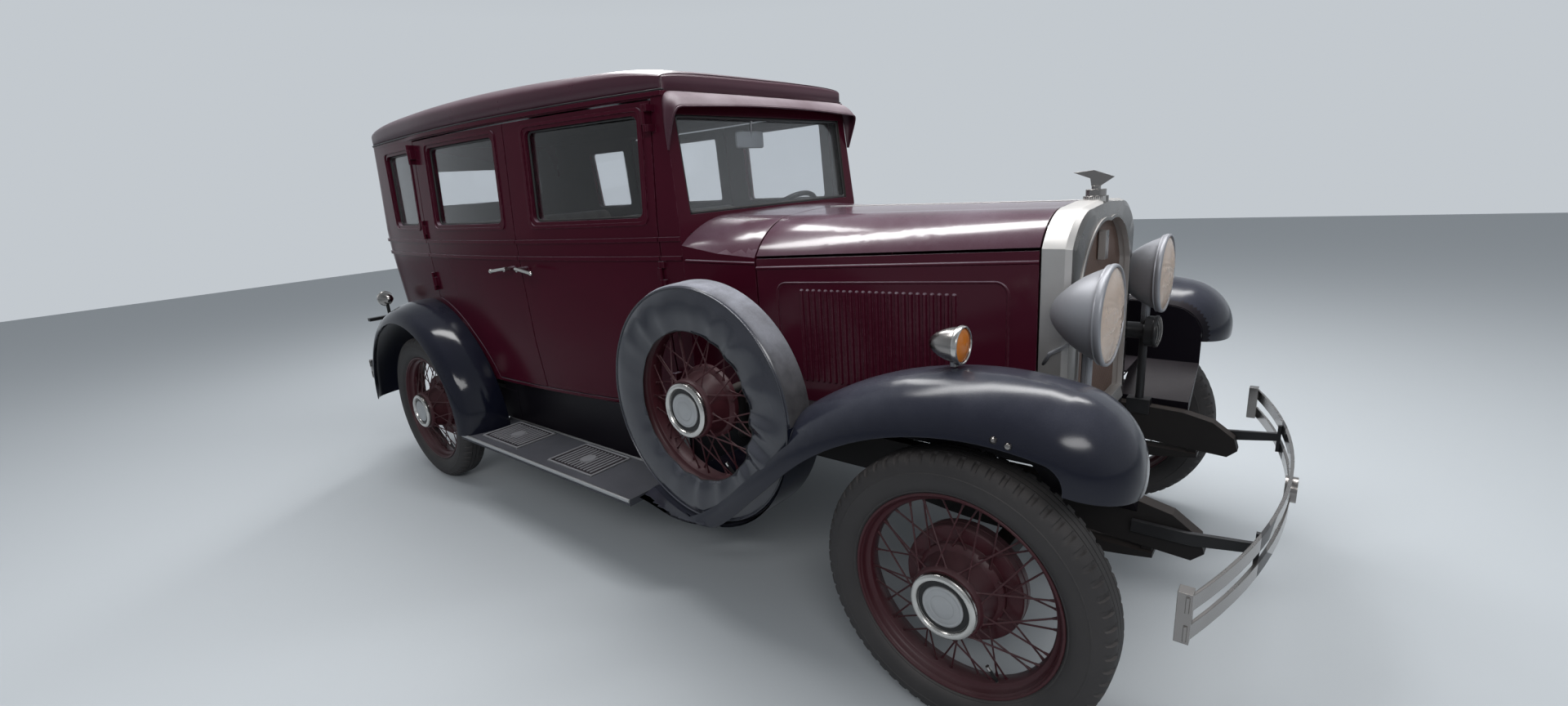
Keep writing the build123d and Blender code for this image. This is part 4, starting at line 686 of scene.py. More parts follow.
def smoothCopy(node, body, recordSlot):
    mesh = cadNodes[node].data.copy()
    mesh.name = node + "Sheet"
    if "custom_normal" in mesh.attributes:
        mesh.attributes.remove(mesh.attributes["custom_normal"])
    reworked(mesh, joinFacets)
    shade(mesh, 24)
    piece = standPiece(node + "_sheet", mesh, recordSlot, body, stands=[node])
    piece.modifiers.new("evenShade", "WEIGHTED_NORMAL").keep_sharp = True
    return piece


# node, body, material slot in the record
sheetNodes = [
    ("cowl", "chassis", "body"), ("body_glass", "chassis", "glass"), ("body_shell", "chassis", "body"),
    ("hood_sides", "chassis", "body"), ("hood_top_right", "hood_right", "body"),
    ("hood_top_left", "hood_left", "body"), ("front_fenders", "chassis", "fender"),
    ("rear_fenders", "chassis", "fender"), ("radiator_shell", "chassis", "chrome"), ("lamps", "chassis", "chrome"),
    ("bumpers", "chassis", "chrome"),
]
sheetNodes += [
    (end + "_door_" + word, "door_" + end + "_" + word, "body")
    for word, side, spin in sides for end in ("front", "rear")
]
sheets = {node: smoothCopy(node, body, recordSlot) for node, body, recordSlot in sheetNodes}

# plan of the body at the drip rail, right half: the side's arc and the rear corner's arc, as x from the axle and y
planShape = dict(
    side=[(-1.1, 0.508), (-2.2, 0.648), (-3.14, 0.592)], corner=[(-3.14, 0.592), (-3.2346, 0.541), (-3.268, 0.394)],
    cornerX=-3.14, railZ=1.6255, railGap=0.004, backX=-3.272, railX=-3.18, railRun=0.08, railY=0.6,
)
sideCircle, cornerCircle = circleThrough(planShape["side"]), circleThrough(planShape["corner"])
# the photograph shows the back of the body a little longer, and its drip rail ends at the last door
rearShape = dict(startX=-2.7, run=0.45, belt=0.055, top=0.033, lowZ=0.76, beltZ=1.226, topZ=1.64, railIn=0.01)


def planHalf(x):
    return halfWidth(sideCircle if x > axleX + planShape["cornerX"] else cornerCircle, x)


def rearReach(x, z):
    v = rearShape
    along = easeStep((axleX + v["startX"] - x) / v["run"])
    up = easeStep((z - v["lowZ"]) / (v["beltZ"] - v["lowZ"]))
    over = max(0.0, min(1.0, (z - v["beltZ"]) / (v["topZ"] - v["beltZ"])))
    return -(v["belt"] * up + v["top"] * over) * along


for spot in sheets["body_shell"].data.vertices:
    p, v, inward = spot.co, planShape, rearShape["railIn"]
    if p.x < axleX + rearShape["startX"] and p.z > v["railZ"]:
        if abs(p.y) > planHalf(p.x) + v["railGap"] or p.x < axleX + v["backX"]:
            p.y *= 1 - inward / v["railY"]
            p.x += inward * easeStep((axleX + v["railX"] - p.x) / v["railRun"])
for node in ("body_shell", "body_glass"):
    for spot in sheets[node].data.vertices:
        spot.co.x += rearReach(spot.co.x, spot.co.z)


def dropFaces(mesh, test):
    def drop(work):
        bmesh.ops.delete(work, geom=[face for face in work.faces if test(face)], context="FACES")
    reworked(mesh, drop)


# the photograph shows no wall outside the spare wheel's well, and the fender's tail drawn up to the board
wellShape = dict(
    x=-0.79, z=0.712, radius=0.37, low=0.8062, high=0.8118, tailFront=-0.7, tailBack=-0.95, tailRun=0.25, tailY=0.6,
    tailLow=0.324, tailRise=0.03,
)


def wellWall(face):
    v = wellShape
    return all(
        v["low"] < abs(q.co.y) < v["high"] and math.hypot(q.co.x - axleX - v["x"], q.co.z - v["z"]) < v["radius"]
        for q in face.verts
    )


dropFaces(sheets["front_fenders"].data, wellWall)
for spot in sheets["front_fenders"].data.vertices:
    p, v = spot.co, wellShape
    if p.x < axleX + v["tailFront"] and abs(p.y) > v["tailY"]:
        p.z = max(p.z, v["tailLow"] + v["tailRise"] * easeStep((p.x - axleX - v["tailBack"]) / v["tailRun"]))

# the lamp shells are built afresh further on, so the copy keeps only the stalks, braces and horn
# x from the front axle, y, z, radius, reach either way along x
shellPlaces = [
    (0.215, 0.338, 0.971, 0.126, 0.105), (-0.005, 0.69, 0.958, 0.0465, 0.092), (-3.249, 0.69, 0.872, 0.0415, 0.092),
]


def lampShell(face):
    c = face.calc_center_median()
    return any(
        math.hypot(abs(c.y) - y, c.z - z) < radius and abs(c.x - axleX - x) < reach
        and all(math.hypot(abs(q.co.y) - y, q.co.z - z) < radius for q in face.verts)
        for x, y, z, radius, reach in shellPlaces
    )


dropFaces(sheets["lamps"].data, lampShell)
print("sheet metal smoothed")


# roof skin with its bead
roofShape = dict(
    base=1.6403, thick=0.028, across=72, along=121, square=2.36, frontSquare=3.6, squareFrom=-1.1, squareRun=0.45,
    edge=0.012, edgeSteps=5, inset=0.001, reachZ=1.64, beadRadius=0.0035, beadSteps=90,
    beadFront=-1.104, beadBack=-3.266, beadZ=1.644,
    # x from the front axle, straight height of the side, height of the crown
    table=[
        (-1.1, 0.034, 1.702), (-1.15, 0.04, 1.715), (-1.25, 0.048, 1.737), (-1.4, 0.054, 1.757),
        (-1.6, 0.057, 1.774), (-1.9, 0.059, 1.788), (-2.2, 0.06, 1.795), (-2.55, 0.06, 1.795),
        (-2.8, 0.06, 1.791), (-2.96, 0.058, 1.786), (-3.08, 0.053, 1.775), (-3.15, 0.046, 1.76),
        (-3.2, 0.037, 1.74), (-3.24, 0.024, 1.707), (-3.262, 0.01, 1.668), (-3.268, 0.004, 1.65),
    ],
)


def roofMesh(v):
    stations = [
        (axleX + x, planHalf(axleX + x) - v["inset"], side, crown)
        for x, side, crown in curveThrough(v["table"], v["along"])
    ]
    firstX, firstW, firstSide, firstCrown = stations[0]
    rounded = []
    for k in range(v["edgeSteps"]):
        angle = math.pi / 2 * k / v["edgeSteps"]
        inward = v["edge"] * (1 - math.sin(angle))
        x = firstX + v["edge"] * math.cos(angle) - v["edge"]
        rounded.append((x, firstW - inward, firstSide, firstCrown - inward))
    stations = rounded + stations[1:]
    rings = []
    for x, w, side, crown in stations:
        blend = easeStep((axleX + v["squareFrom"] - x) / v["squareRun"])
        power = 2 / (v["frontSquare"] + (v["square"] - v["frontSquare"]) * blend)
        edge = v["base"] + side
        x += rearReach(x, v["reachZ"])
        ring = [(x, w, v["base"])]
        for k in range(v["across"] + 1):
            angle = math.pi * k / v["across"]
            y = math.copysign(abs(math.cos(angle)) ** power, math.cos(angle)) * w
            ring.append((x, y, edge + max(0.0, math.sin(angle)) ** power * (crown - edge)))
        rings.append(ring + [(x, -w, v["base"])])
    bits = newBits()
    addRings(bits, rings, closed=False, ends=[0, 0])
    return bitsToMesh("roofSkin", bits, ["roofPaint", "cabinTrim"], 40)


roofSkin = standPiece("roof_skin", roofMesh(roofShape), "roof", stands=["roof"])
lining = roofSkin.modifiers.new("lining", "SOLIDIFY")
lining.thickness, lining.offset, lining.material_offset = roofShape["thick"], -1, 1
bits = newBits()
beadPath = []
v = roofShape
for k in range(v["beadSteps"]):
    turn = math.sin(math.pi / 2 * k / (v["beadSteps"] - 1))
    x = axleX + v["beadFront"] - (v["beadFront"] - v["beadBack"]) * turn
    beadPath.append((x + rearReach(x, v["reachZ"]), planHalf(x) + v["inset"], v["beadZ"]))
addTube(bits, beadPath + [(x, -y, z) for x, y, z in beadPath[::-1]], v["beadRadius"], loop=True)
standPiece("roof_bead", bitsToMesh("roofBead", bits, ["blackPaint"], 60), "black")

# sun visor: one curved sheet with a rolled lip
visorShape = dict(
    thick=0.003, bulge=0.011, along=141, across=12, lipRadius=0.0034, middle=(-1.14, 0, 1.44),
    # half of each edge, from the lower tip to the middle: x from the front axle, y, z
    root=[
        (-1.084, 0.521, 1.456), (-1.091, 0.519, 1.52), (-1.098, 0.515, 1.58), (-1.103, 0.507, 1.618),
        (-1.105, 0.49, 1.636), (-1.105, 0.455, 1.6405), (-1.105, 0.3, 1.6415), (-1.105, 0.15, 1.642),
        (-1.105, 0.0, 1.642),
    ],
    lip=[
        (-1.08, 0.525, 1.456), (-1.062, 0.526, 1.506), (-1.045, 0.524, 1.548), (-1.033, 0.515, 1.575),
        (-1.03, 0.497, 1.584), (-1.029, 0.46, 1.586), (-1.028, 0.3, 1.592), (-1.027, 0.15, 1.596),
        (-1.027, 0.0, 1.597),
    ],
)


def visorRings(v, root, lip):
    rings = []
    for i, (a, b) in enumerate(zip(root, lip)):
        before, after = root[max(0, i - 1)], root[min(len(root) - 1, i + 1)]
        out = (b - a).cross(after - before).normalized()
        if out.dot((a + b) / 2 - Vector(v["middle"])) < 0:
            out = -out
        ring = []
        for k in range(v["across"] + 1):
            t = k / v["across"]
            p = a.lerp(b, t) + out * v["bulge"] * math.sin(math.pi * t) * min(1.0, (b - a).length / 0.05)
            ring.append((axleX + p.x, p.y, p.z))
        rings.append(ring)
    return rings


visorEdges = []
for name in ("root", "lip"):
    half = curveThrough(visorShape[name], visorShape["along"] // 2 + 1)
    visorEdges.append(half + [Vector((p.x, -p.y, p.z)) for p in half[-2::-1]])
bits = newBits()
addRings(bits, visorRings(visorShape, *visorEdges), closed=False)
mesh = bitsToMesh("visorSkin", bits, ["visorPaint"], 60)
doubled = standPiece("visor_skin", mesh, "roof", stands=["sun_visor"]).modifiers.new("doubled", "SOLIDIFY")
doubled.thickness, doubled.offset = visorShape["thick"], 0
bits = newBits()
addTube(bits, [(axleX + p.x, p.y, p.z) for p in visorEdges[1]], visorShape["lipRadius"])
standPiece("visor_lip", bitsToMesh("visorLip", bits, ["visorPaint"], 60), "roof")
print("roof skin and visor built")


# tyres: round shoulders, circling grooves and shoulder blocks
tyreValues = dict(
    blocks=66, grooveDeep=0.0055, grooveAt=0.019, grooveHalf=0.0016, lugFrom=0.029, lugRadius=0.338, tread=0.3578,
    lugRoot=0.336, lugRun=0.012, steps=(0.0, 0.58, 0.66, 0.92),
    # side wall from bead to tread, as (radius, outward)
    side=[
        (0.26, 0.0408), (0.264, 0.045), (0.2665, 0.048), (0.269, 0.0482), (0.271, 0.0505), (0.279, 0.0555),
        (0.29, 0.0592), (0.302, 0.0608), (0.313, 0.0604), (0.3145, 0.0612), (0.3165, 0.0612), (0.318, 0.0598),
        (0.327, 0.0578), (0.336, 0.0545), (0.343, 0.0515), (0.35, 0.0465), (0.355, 0.039), (0.357, 0.031),
        (0.3572, 0.029), (0.3576, 0.024),
    ],
)


def tyreMesh(v):
    h, at, low = v["grooveHalf"], v["grooveAt"], v["tread"] - v["grooveDeep"]
    half = v["side"] + [
        (v["tread"], at + h), (low, at + h * 0.6), (low, at - h * 0.6), (v["tread"], at - h), (0.358, 0.01),
        (0.358, h), (low, h * 0.6),
    ]
    base = half + [(r, -o) for r, o in reversed(half)]
    rings = []
    for k in range(v["blocks"]):
        for phase, step in enumerate(v["steps"]):
            angle = 2 * math.pi * (k + step) / v["blocks"]
            ring = []
            for radius, outward in base:
                if abs(outward) > v["lugFrom"] - 0.0001 and radius > v["lugRadius"] and phase in (2, 3):
                    radius -= v["grooveDeep"] * min(1.0, (radius - v["lugRoot"]) / v["lugRun"])
                ring += spun([(radius, outward)], angle + (math.pi / v["blocks"] if outward < 0 else 0.0))
            rings.append(ring)
    bits = newBits()
    addRings(bits, rings, closed=False, loop=True)
    return bitsToMesh("tyre", bits, ["tyreRubber"], 28)


# wire wheels: rolled rim, hub shell, crossed spokes with nipples, drum and cap; profiles as (radius, outward)
wheelValues = dict(
    spokePairs=20, spokeRadius=0.0023, nippleRadius=0.0042, nippleLong=0.013, footLong=0.01, spokeEnd=0.2345,
    # start angle, turn, radius and place outward at the hub, place outward at the rim
    spokes=[(0.0, 22.0, 0.0875, 0.066, 0.007), (9.0, -21.0, 0.108, -0.002, -0.007)],
    # valve: its angle, then rods as start radius and outward, end radius and outward, radii, finish number
    valveAngle=-64,
    valve=[(0.236, 0.012, 0.196, 0.022, 0.0042, 0.0042, 2), (0.2, 0.021, 0.188, 0.024, 0.0055, 0.005, 1)],
    rim=[
        (0.262, 0.044), (0.261, 0.0468), (0.258, 0.0478), (0.2548, 0.0462), (0.2535, 0.0415), (0.2505, 0.0385),
        (0.248, 0.027), (0.245, 0.0235), (0.237, 0.019), (0.2335, 0.012), (0.233, 0.0),
    ],
    rimBack=[(0.238, 0.0), (0.24, 0.016), (0.2505, 0.024), (0.256, 0.04), (0.26, 0.0425)],
    hub=[
        (0.08, 0.08), (0.0855, 0.079), (0.0885, 0.0745), (0.0905, 0.069), (0.0905, 0.064), (0.088, 0.061),
        (0.088, 0.056), (0.0905, 0.04), (0.095, 0.022), (0.099, 0.006), (0.106, 0.002), (0.112, -0.004),
        (0.1125, -0.01), (0.112, -0.019), (0.04, -0.02), (0.0215, -0.02), (0.0215, 0.03), (0.04, 0.08),
    ],
    drum=[
        (0.04, -0.018), (0.138, -0.0185), (0.147, -0.02), (0.15, -0.024), (0.15, -0.042), (0.1515, -0.044),
        (0.1515, -0.047), (0.15, -0.049), (0.15, -0.06), (0.15, -0.064), (0.143, -0.064), (0.142, -0.027),
        (0.04, -0.025),
    ],
    cap=[
        (0.08, 0.079), (0.0826, 0.0815), (0.083, 0.086), (0.0815, 0.0915), (0.0775, 0.095), (0.0725, 0.0962),
        (0.068, 0.095), (0.065, 0.0915), (0.064, 0.087), (0.064, 0.08),
    ],
    band=[(0.0645, 0.087), (0.06, 0.0862), (0.053, 0.0866), (0.0515, 0.0885), (0.0515, 0.08), (0.0645, 0.08)],
    disc=[
        (0.0515, 0.086), (0.051, 0.0905), (0.049, 0.092), (0.0455, 0.0925), (0.043, 0.0915), (0.04, 0.0925),
        (0.03, 0.0935), (0.029, 0.0928), (0.027, 0.0938), (0.015, 0.0945), (0.0, 0.0948), (0.0, 0.08), (0.0515, 0.08),
    ],
)


def wheelMesh(v, withDrum):
    bits = newBits()
    rim = v["rim"] + [(r, -o) for r, o in reversed(v["rim"][:-1])]
    turnProfile(bits, rim + [(r, -o) for r, o in reversed(v["rimBack"])] + v["rimBack"][1:], 120)
    for name, number in (("hub", 0), ("drum", 0), ("cap", 1), ("band", 2), ("disc", 3)):
        if name != "drum" or withDrum:
            turnProfile(bits, v[name], 72, number)
    thin = v["spokeRadius"]
    for k in range(v["spokePairs"]):
        for start, turn, hubRadius, hubOut, rimOut in v["spokes"]:
            fromAngle = math.radians(start + k * 360 / v["spokePairs"])
            toAngle = fromAngle + math.radians(turn * (1 if k % 2 else -1))
            inner = Vector(spun([(hubRadius, hubOut)], fromAngle)[0])
            outer = Vector(spun([(v["spokeEnd"], rimOut)], toAngle)[0])
            back = (inner - outer).normalized()
            addRod(bits, inner, outer, thin)
            addRod(bits, outer, outer + back * v["nippleLong"], v["nippleRadius"], thin * 1.2)
            addRod(bits, inner, inner - back * v["footLong"], thin * 1.7, thin * 1.2)
    for startRadius, startOut, endRadius, endOut, thick, thickEnd, number in v["valve"]:
        start, end = spun([(startRadius, startOut), (endRadius, endOut)], math.radians(v["valveAngle"]))
        addRod(bits, start, end, thick, thickEnd, number=number)
    return bitsToMesh("wireWheel", bits, ["wheelPaint", "chromePlate", "blackPaint", "capSilver"], 32)


tyreShape = tyreMesh(tyreValues)
roadWheelShape = wheelMesh(wheelValues, True)
spareWheelShape = wheelMesh(wheelValues, False)
for end, x, y in (("front", axleX, -rightY), ("rear", rearX, -rearRightY)):
    for word, side, spin in sides:
        name, at = end + "_" + word, (x, side * y, wheelZ)
        standPiece("tread_tyre_" + name, tyreShape, "tyre", "wheel_" + name, at, spin, ["tyre_" + name])
        standPiece("wire_wheel_" + name, roadWheelShape, "wheel", "wheel_" + name, at, spin, ["wheel_" + name])
for word, side, spin in sides:
    spare = dict(at=(spareX, side * spareY, spareZ), spin=spin)
    standPiece("spare_tread_tyre_" + word, tyreShape, "tyre", stands=["spare_tyres"], **spare)
    standPiece("spare_wire_wheel_" + word, spareWheelShape, "wheel", stands=["spare_wheels"], **spare)
print("tyres and wheels built")


# soft covers on the spare tyres: creased face, sewn piping, wire at the hole
coverValues = dict(
    around=360, fold=0.015, folds=17, dent=0.0026, dentSize=2.2, crease=0.001, creaseSize=7.0, uneven=1.3,
    alwaysSlack=0.05, thick=0.0022, pipe=0.0028, wire=0.0013, treadPoints=7, seamPoint=8,
    seeds=dict(right=2.7, left=6.1),
    # where the cloth is slack: angle, reach either way, share of the fold
    slack=[(-0.25, 0.62, 1.0), (0.85, 0.4, 0.45), (2.1, 0.45, 0.35), (-1.65, 0.5, 0.6)],
    # across the tread and down the face to the hole, as (radius, outward)
    outer=[
        (0.364, -0.033), (0.365, -0.024), (0.3644, -0.015), (0.364, 0.0), (0.3638, 0.015), (0.3636, 0.03),
        (0.3628, 0.043), (0.359, 0.0515), (0.353, 0.0568), (0.345, 0.06), (0.336, 0.0625), (0.325, 0.0645),
        (0.313, 0.0652), (0.301, 0.0654), (0.289, 0.065), (0.277, 0.064), (0.265, 0.062), (0.253, 0.0592),
        (0.241, 0.056), (0.23, 0.053),
    ],
)


def coverShift(v, angle, along, seed):
    # how far the cloth stands out; along runs from 0 at the back edge of the tread to 1 at the hole
    circle = Vector((math.cos(angle), math.sin(angle), 0))
    uneven = noise.noise(circle * v["uneven"] + Vector((0, 0, seed)))
    slack = v["alwaysSlack"]
    for at, wide, share in v["slack"]:
        away = math.remainder(angle - at, 2 * math.pi) / wide
        slack += share * math.exp(-away * away)
    wave = 0.5 + 0.5 * math.cos(v["folds"] * angle + 3.0 * uneven + (1 - along) * 2.6)
    face = max(0.0, (along - 0.45) / 0.55)
    reach = math.sin(math.pi * min(1.0, face * 0.62))
    broad = noise.noise(circle * v["dentSize"] + Vector((0, 0, seed + along * 0.8)))
    fine = noise.noise(circle * v["creaseSize"] + Vector((0, 0, seed + along * 3.0)))
    return v["fold"] * slack * wave ** 1.4 * reach + v["dent"] * (broad + 0.5) * face + v["crease"] * fine * face


def coverMesh(v, seed):
    rings, seam, hole = [], [], []
    for k in range(v["around"]):
        angle = 2 * math.pi * k / v["around"]
        row, back = [], []
        for i, (radius, outward) in enumerate(v["outer"]):
            along = i / (len(v["outer"]) - 1)
            shift = coverShift(v, angle, along, seed)
            row.append((radius - shift * 0.10 * max(0.0, (along - 0.6) / 0.4), outward + max(0.0, shift)))
        for i, (radius, outward) in enumerate(row):
            tread = i < v["treadPoints"]
            back.append((radius - v["thick"], outward) if tread else (radius - 0.0006, outward - v["thick"]))
        rings.append(spun(row + back[::-1], angle))
        seamRadius, seamOut = row[v["seamPoint"]]
        seam += spun([(seamRadius + 0.001, seamOut + 0.001)], angle)
        hole += spun([(row[-1][0] - 0.001, row[-1][1])], angle)
    bits = newBits()
    addRings(bits, rings, loop=True)
    bits["finish"] = [2 if i < v["treadPoints"] else 0 for i in range(len(rings[0]))] * v["around"]
    addTube(bits, seam, v["pipe"], loop=True)
    addTube(bits, hole, v["wire"], 6, 1, loop=True)
    return bitsToMesh("softCover", bits, ["coverVinyl", "blackPaint", "coverTread"], 60)


for word, side, spin in sides:
    piece = standPiece(
        "soft_cover_" + word, coverMesh(coverValues, coverValues["seeds"][word]), "vinyl",
        at=(spareX, side * spareY, spareZ), spin=spin, stands=["spare_covers"],
    )
print("spare covers built")


# lamps: bowl and rolled rim as (radius, distance before the face), then the domed glass; tail lamps look back
smallBowl = [
    (0.0, -0.076), (0.008, -0.0745), (0.016, -0.069), (0.024, -0.059), (0.031, -0.0455), (0.037, -0.029),
    (0.04, -0.014), (0.041, -0.006), (0.038, -0.004), (0.0, -0.004),
]
smallRim = [
    (0.0405, -0.006), (0.0435, -0.0055), (0.045, -0.002), (0.045, 0.003), (0.0438, 0.0068), (0.0405, 0.008),
    (0.038, 0.006), (0.038, -0.004),
]
lampShapes = dict(
    head=dict(
        at=(0.215, 0.338, 0.971), spin=0.0, scale=1.0, finishes=["lampPaint", "lampPaint"],
        bowl=[
            (0.0, -0.137), (0.011, -0.1365), (0.022, -0.1335), (0.033, -0.1275), (0.044, -0.119), (0.056, -0.1075),
            (0.069, -0.093), (0.082, -0.076), (0.093, -0.059), (0.103, -0.04), (0.11, -0.024), (0.1145, -0.013),
            (0.1165, -0.0115), (0.1165, -0.008), (0.108, -0.008), (0.0, -0.008),
        ],
        rim=[
            (0.115, -0.0125), (0.1195, -0.013), (0.1215, -0.011), (0.1205, -0.008), (0.1215, -0.006),
            (0.1235, -0.003), (0.124, 0.002), (0.123, 0.006), (0.1205, 0.0085), (0.1175, 0.009), (0.116, 0.007),
            (0.116, -0.008),
        ],
    ),
    side=dict(
        at=(-0.005, 0.69, 0.958), spin=0.0, scale=1.0, finishes=["rimPlate", "chromePlate"], bowl=smallBowl,
        rim=smallRim,
    ),
    tail=dict(
        at=(-3.249, 0.69, 0.872), spin=math.pi, scale=0.888, finishes=["rimPlate", "chromePlate"], bowl=smallBowl,
        rim=smallRim,
    ),
)


def facingAhead(bits):
    bits["points"] = [(-py, px, pz) for px, py, pz in bits["points"]]


for word, side, spin in sides:
    for name, v in lampShapes.items():
        bits = newBits()
        for number, part in enumerate(("bowl", "rim")):
            profile = [(radius * v["scale"], out * v["scale"]) for radius, out in v[part]]
            turnProfile(bits, profile, 72, number, closed=part == "rim")
        facingAhead(bits)
        x, y, z = v["at"]
        mesh = bitsToMesh(name + "Shell", bits, v["finishes"], 40)
        standPiece(name + "_shell_" + word, mesh, "chrome", at=(axleX + x, side * y, z), spin=v["spin"])
print("lamp shells built")

# x in the frame, y, z; dome and flutes of each glass
lensValues = dict(
    head=dict(
        at=(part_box("lamp_lenses")[1].x - 0.002, 0.338, 0.971), spin=0.0, radius=0.1155, dome=0.018, flutes=26,
        deep=0.0012, finish="clearLens", stands=["lamp_lenses"],
    ),
    side=dict(
        at=(1.538, 0.69, 0.958), spin=0.0, radius=0.0375, dome=0.008, flutes=0, deep=0.0, finish="amberLens",
        stands=[],
    ),
    tail=dict(
        at=(-1.716, 0.69, 0.872), spin=math.pi, radius=0.0325, dome=0.007, flutes=0, deep=0.0, finish="redLens",
        stands=[],
    ),
)


def lensMesh(name, v, count=14, around=96, thick=0.003):
    rings = []
    for k in range(1, count + 1):
        t, ring = k / count, []
        for j in range(around):
            angle = 2 * math.pi * j / around
            y, z = v["radius"] * t * math.cos(angle), v["radius"] * t * math.sin(angle)
            ripple = v["deep"] * math.cos(y / v["radius"] * v["flutes"] * math.pi) * (1 - t ** 6)
            ring.append((v["dome"] * (1 - t ** 2) + ripple, y, z))
        rings.append(ring)
    bits = newBits()
    bits["points"].append((v["dome"], 0, 0))
    bits["faces"] += [(0, 1 + j, 1 + (j + 1) % around) for j in range(around)]
    bits["finish"] += [0] * around
    addRings(bits, rings)
    mesh = bitsToMesh(name + "Lens", bits, [v["finish"]], 60)
    reworked(mesh, lambda work: bmesh.ops.solidify(work, geom=work.faces[:], thickness=thick))
    return mesh


lensMeshes = {name: lensMesh(name, v) for name, v in lensValues.items()}
for word, side, spin in sides:
    for name, v in lensValues.items():
        x, y, z = v["at"]
        standPiece(
            name + "_lens_" + word, lensMeshes[name], "glass", at=(x, side * y, z), spin=v["spin"],
            stands=v["stands"],
        )
print("lamp glass built")


# seat cushions and backs: crowned, sides pulled in, sewn channels, on a plinth
seatShape = dict(
    channels=9, deep=0.012, crown=0.03, pull=0.014, round=0.042, cells=(26, 60, 14), side=0.03, ripple=0.004,
    plinthIn=0.02, plinthRound=0.006,
    # size along and up, place from the seat's x and the ground, lean in degrees
    cushion=dict(size=(0.47, 0.19), at=(0.24, 0.735), lean=-4),
    back=dict(size=(0.12, 0.5), at=(-0.03, 0.985), lean=-13),
    # plinth outline as x from the seat and z
    plinth=[(-0.11, 0.5655), (0.43, 0.5655), (0.442, 0.64), (0.43, 0.65), (-0.11, 0.65)],
    # name, x of the seat from the front axle, full width
    benches=[("front_bench", -1.67, 0.92), ("rear_bench", -2.76, 1.03)],
)


def padMesh(name, size, v, axis):
    # a rounded box, crowned and channelled on the side that axis points to
    work = bmesh.new()
    cells = v["cells"]
    halves = [h / 2 for h in size]
    spots = {}

    def corner(key):
        if key not in spots:
            spots[key] = work.verts.new([(k / cell * 2 - 1) * half for k, cell, half in zip(key, cells, halves)])
        return spots[key]

    for a, b, c in ((0, 1, 2), (0, 2, 1), (1, 2, 0)):
        for i in range(cells[a]):
            for j in range(cells[b]):
                for k in (0, cells[c]):
                    face = []
                    for stepA, stepB in ((0, 0), (1, 0), (1, 1), (0, 1)):
                        key = {a: i + stepA, b: j + stepB, c: k}
                        face.append(corner((key[0], key[1], key[2])))
                    work.faces.new(face)
    for spot in work.verts:
        p = spot.co.copy()
        inner = Vector([max(-h + v["round"], min(h - v["round"], c)) for c, h in zip(p, halves)])
        out = p - inner
        if out.length > 0.0001:
            p = inner + out.normalized() * v["round"]
        u, w, t = [c / h for c, h in zip(p, halves)]
        facing, other = (t, u) if axis == 2 else (u, t)
        raised = v["crown"] * (1 - other * other) * (1 - w ** 4) * max(0.0, facing)
        groove = v["deep"] * abs(math.cos(math.pi * v["channels"] * (w + 1) / 2)) ** 6 * max(0.0, facing)
        p[axis] += raised - groove * (1 - abs(other) ** 8)
        waist = v["pull"] * (1 - min(1.0, abs(t)) ** 2) * (1 - abs(u) ** 6)
        p.y -= math.copysign(waist, w) * abs(w) ** 6
        uneven = noise.noise(Vector((p.x * 9, p.y * 9, p.z * 9 + 3.0))) * v["ripple"]
        spot.co = p + p.normalized() * uneven
    bmesh.ops.recalc_face_normals(work, faces=work.faces)
    mesh = bpy.data.meshes.new(name)
    work.to_mesh(mesh)
    work.free()
    mesh.polygons.foreach_set("use_smooth", [True] * len(mesh.polygons))
    mesh.materials.append(finish["seatCloth"])
    return mesh


for name, seatX, wide in seatShape["benches"]:
    for part, axis in (("cushion", 2), ("back", 0)):
        v = seatShape[part]
        size = (v["size"][0], wide - seatShape["side"], v["size"][1])
        mesh = padMesh(name + part.capitalize(), size, seatShape, axis)
        at = (axleX + seatX + v["at"][0], 0, v["at"][1])
        piece = standPiece(name + "_" + part, mesh, "cloth", at=at, stands=["seats"])
        piece.rotation_euler = (0, math.radians(v["lean"]), 0)
    bits = newBits()
    outline = [(axleX + seatX + px, pz) for px, pz in seatShape["plinth"]]
    half = wide / 2 - seatShape["plinthIn"]
    addRings(bits, [[(px, y, pz) for px, pz in outline] for y in (-half, half)], ends=[0, 0])
    mesh = bitsToMesh(name + "Plinth", bits, ["cabinTrim"], 30)
    rounded = standPiece(name + "_plinth", mesh, "interior", stands=["seats"]).modifiers.new("rounded", "BEVEL")
    rounded.width, rounded.segments = seatShape["plinthRound"], 3
print("seats built")


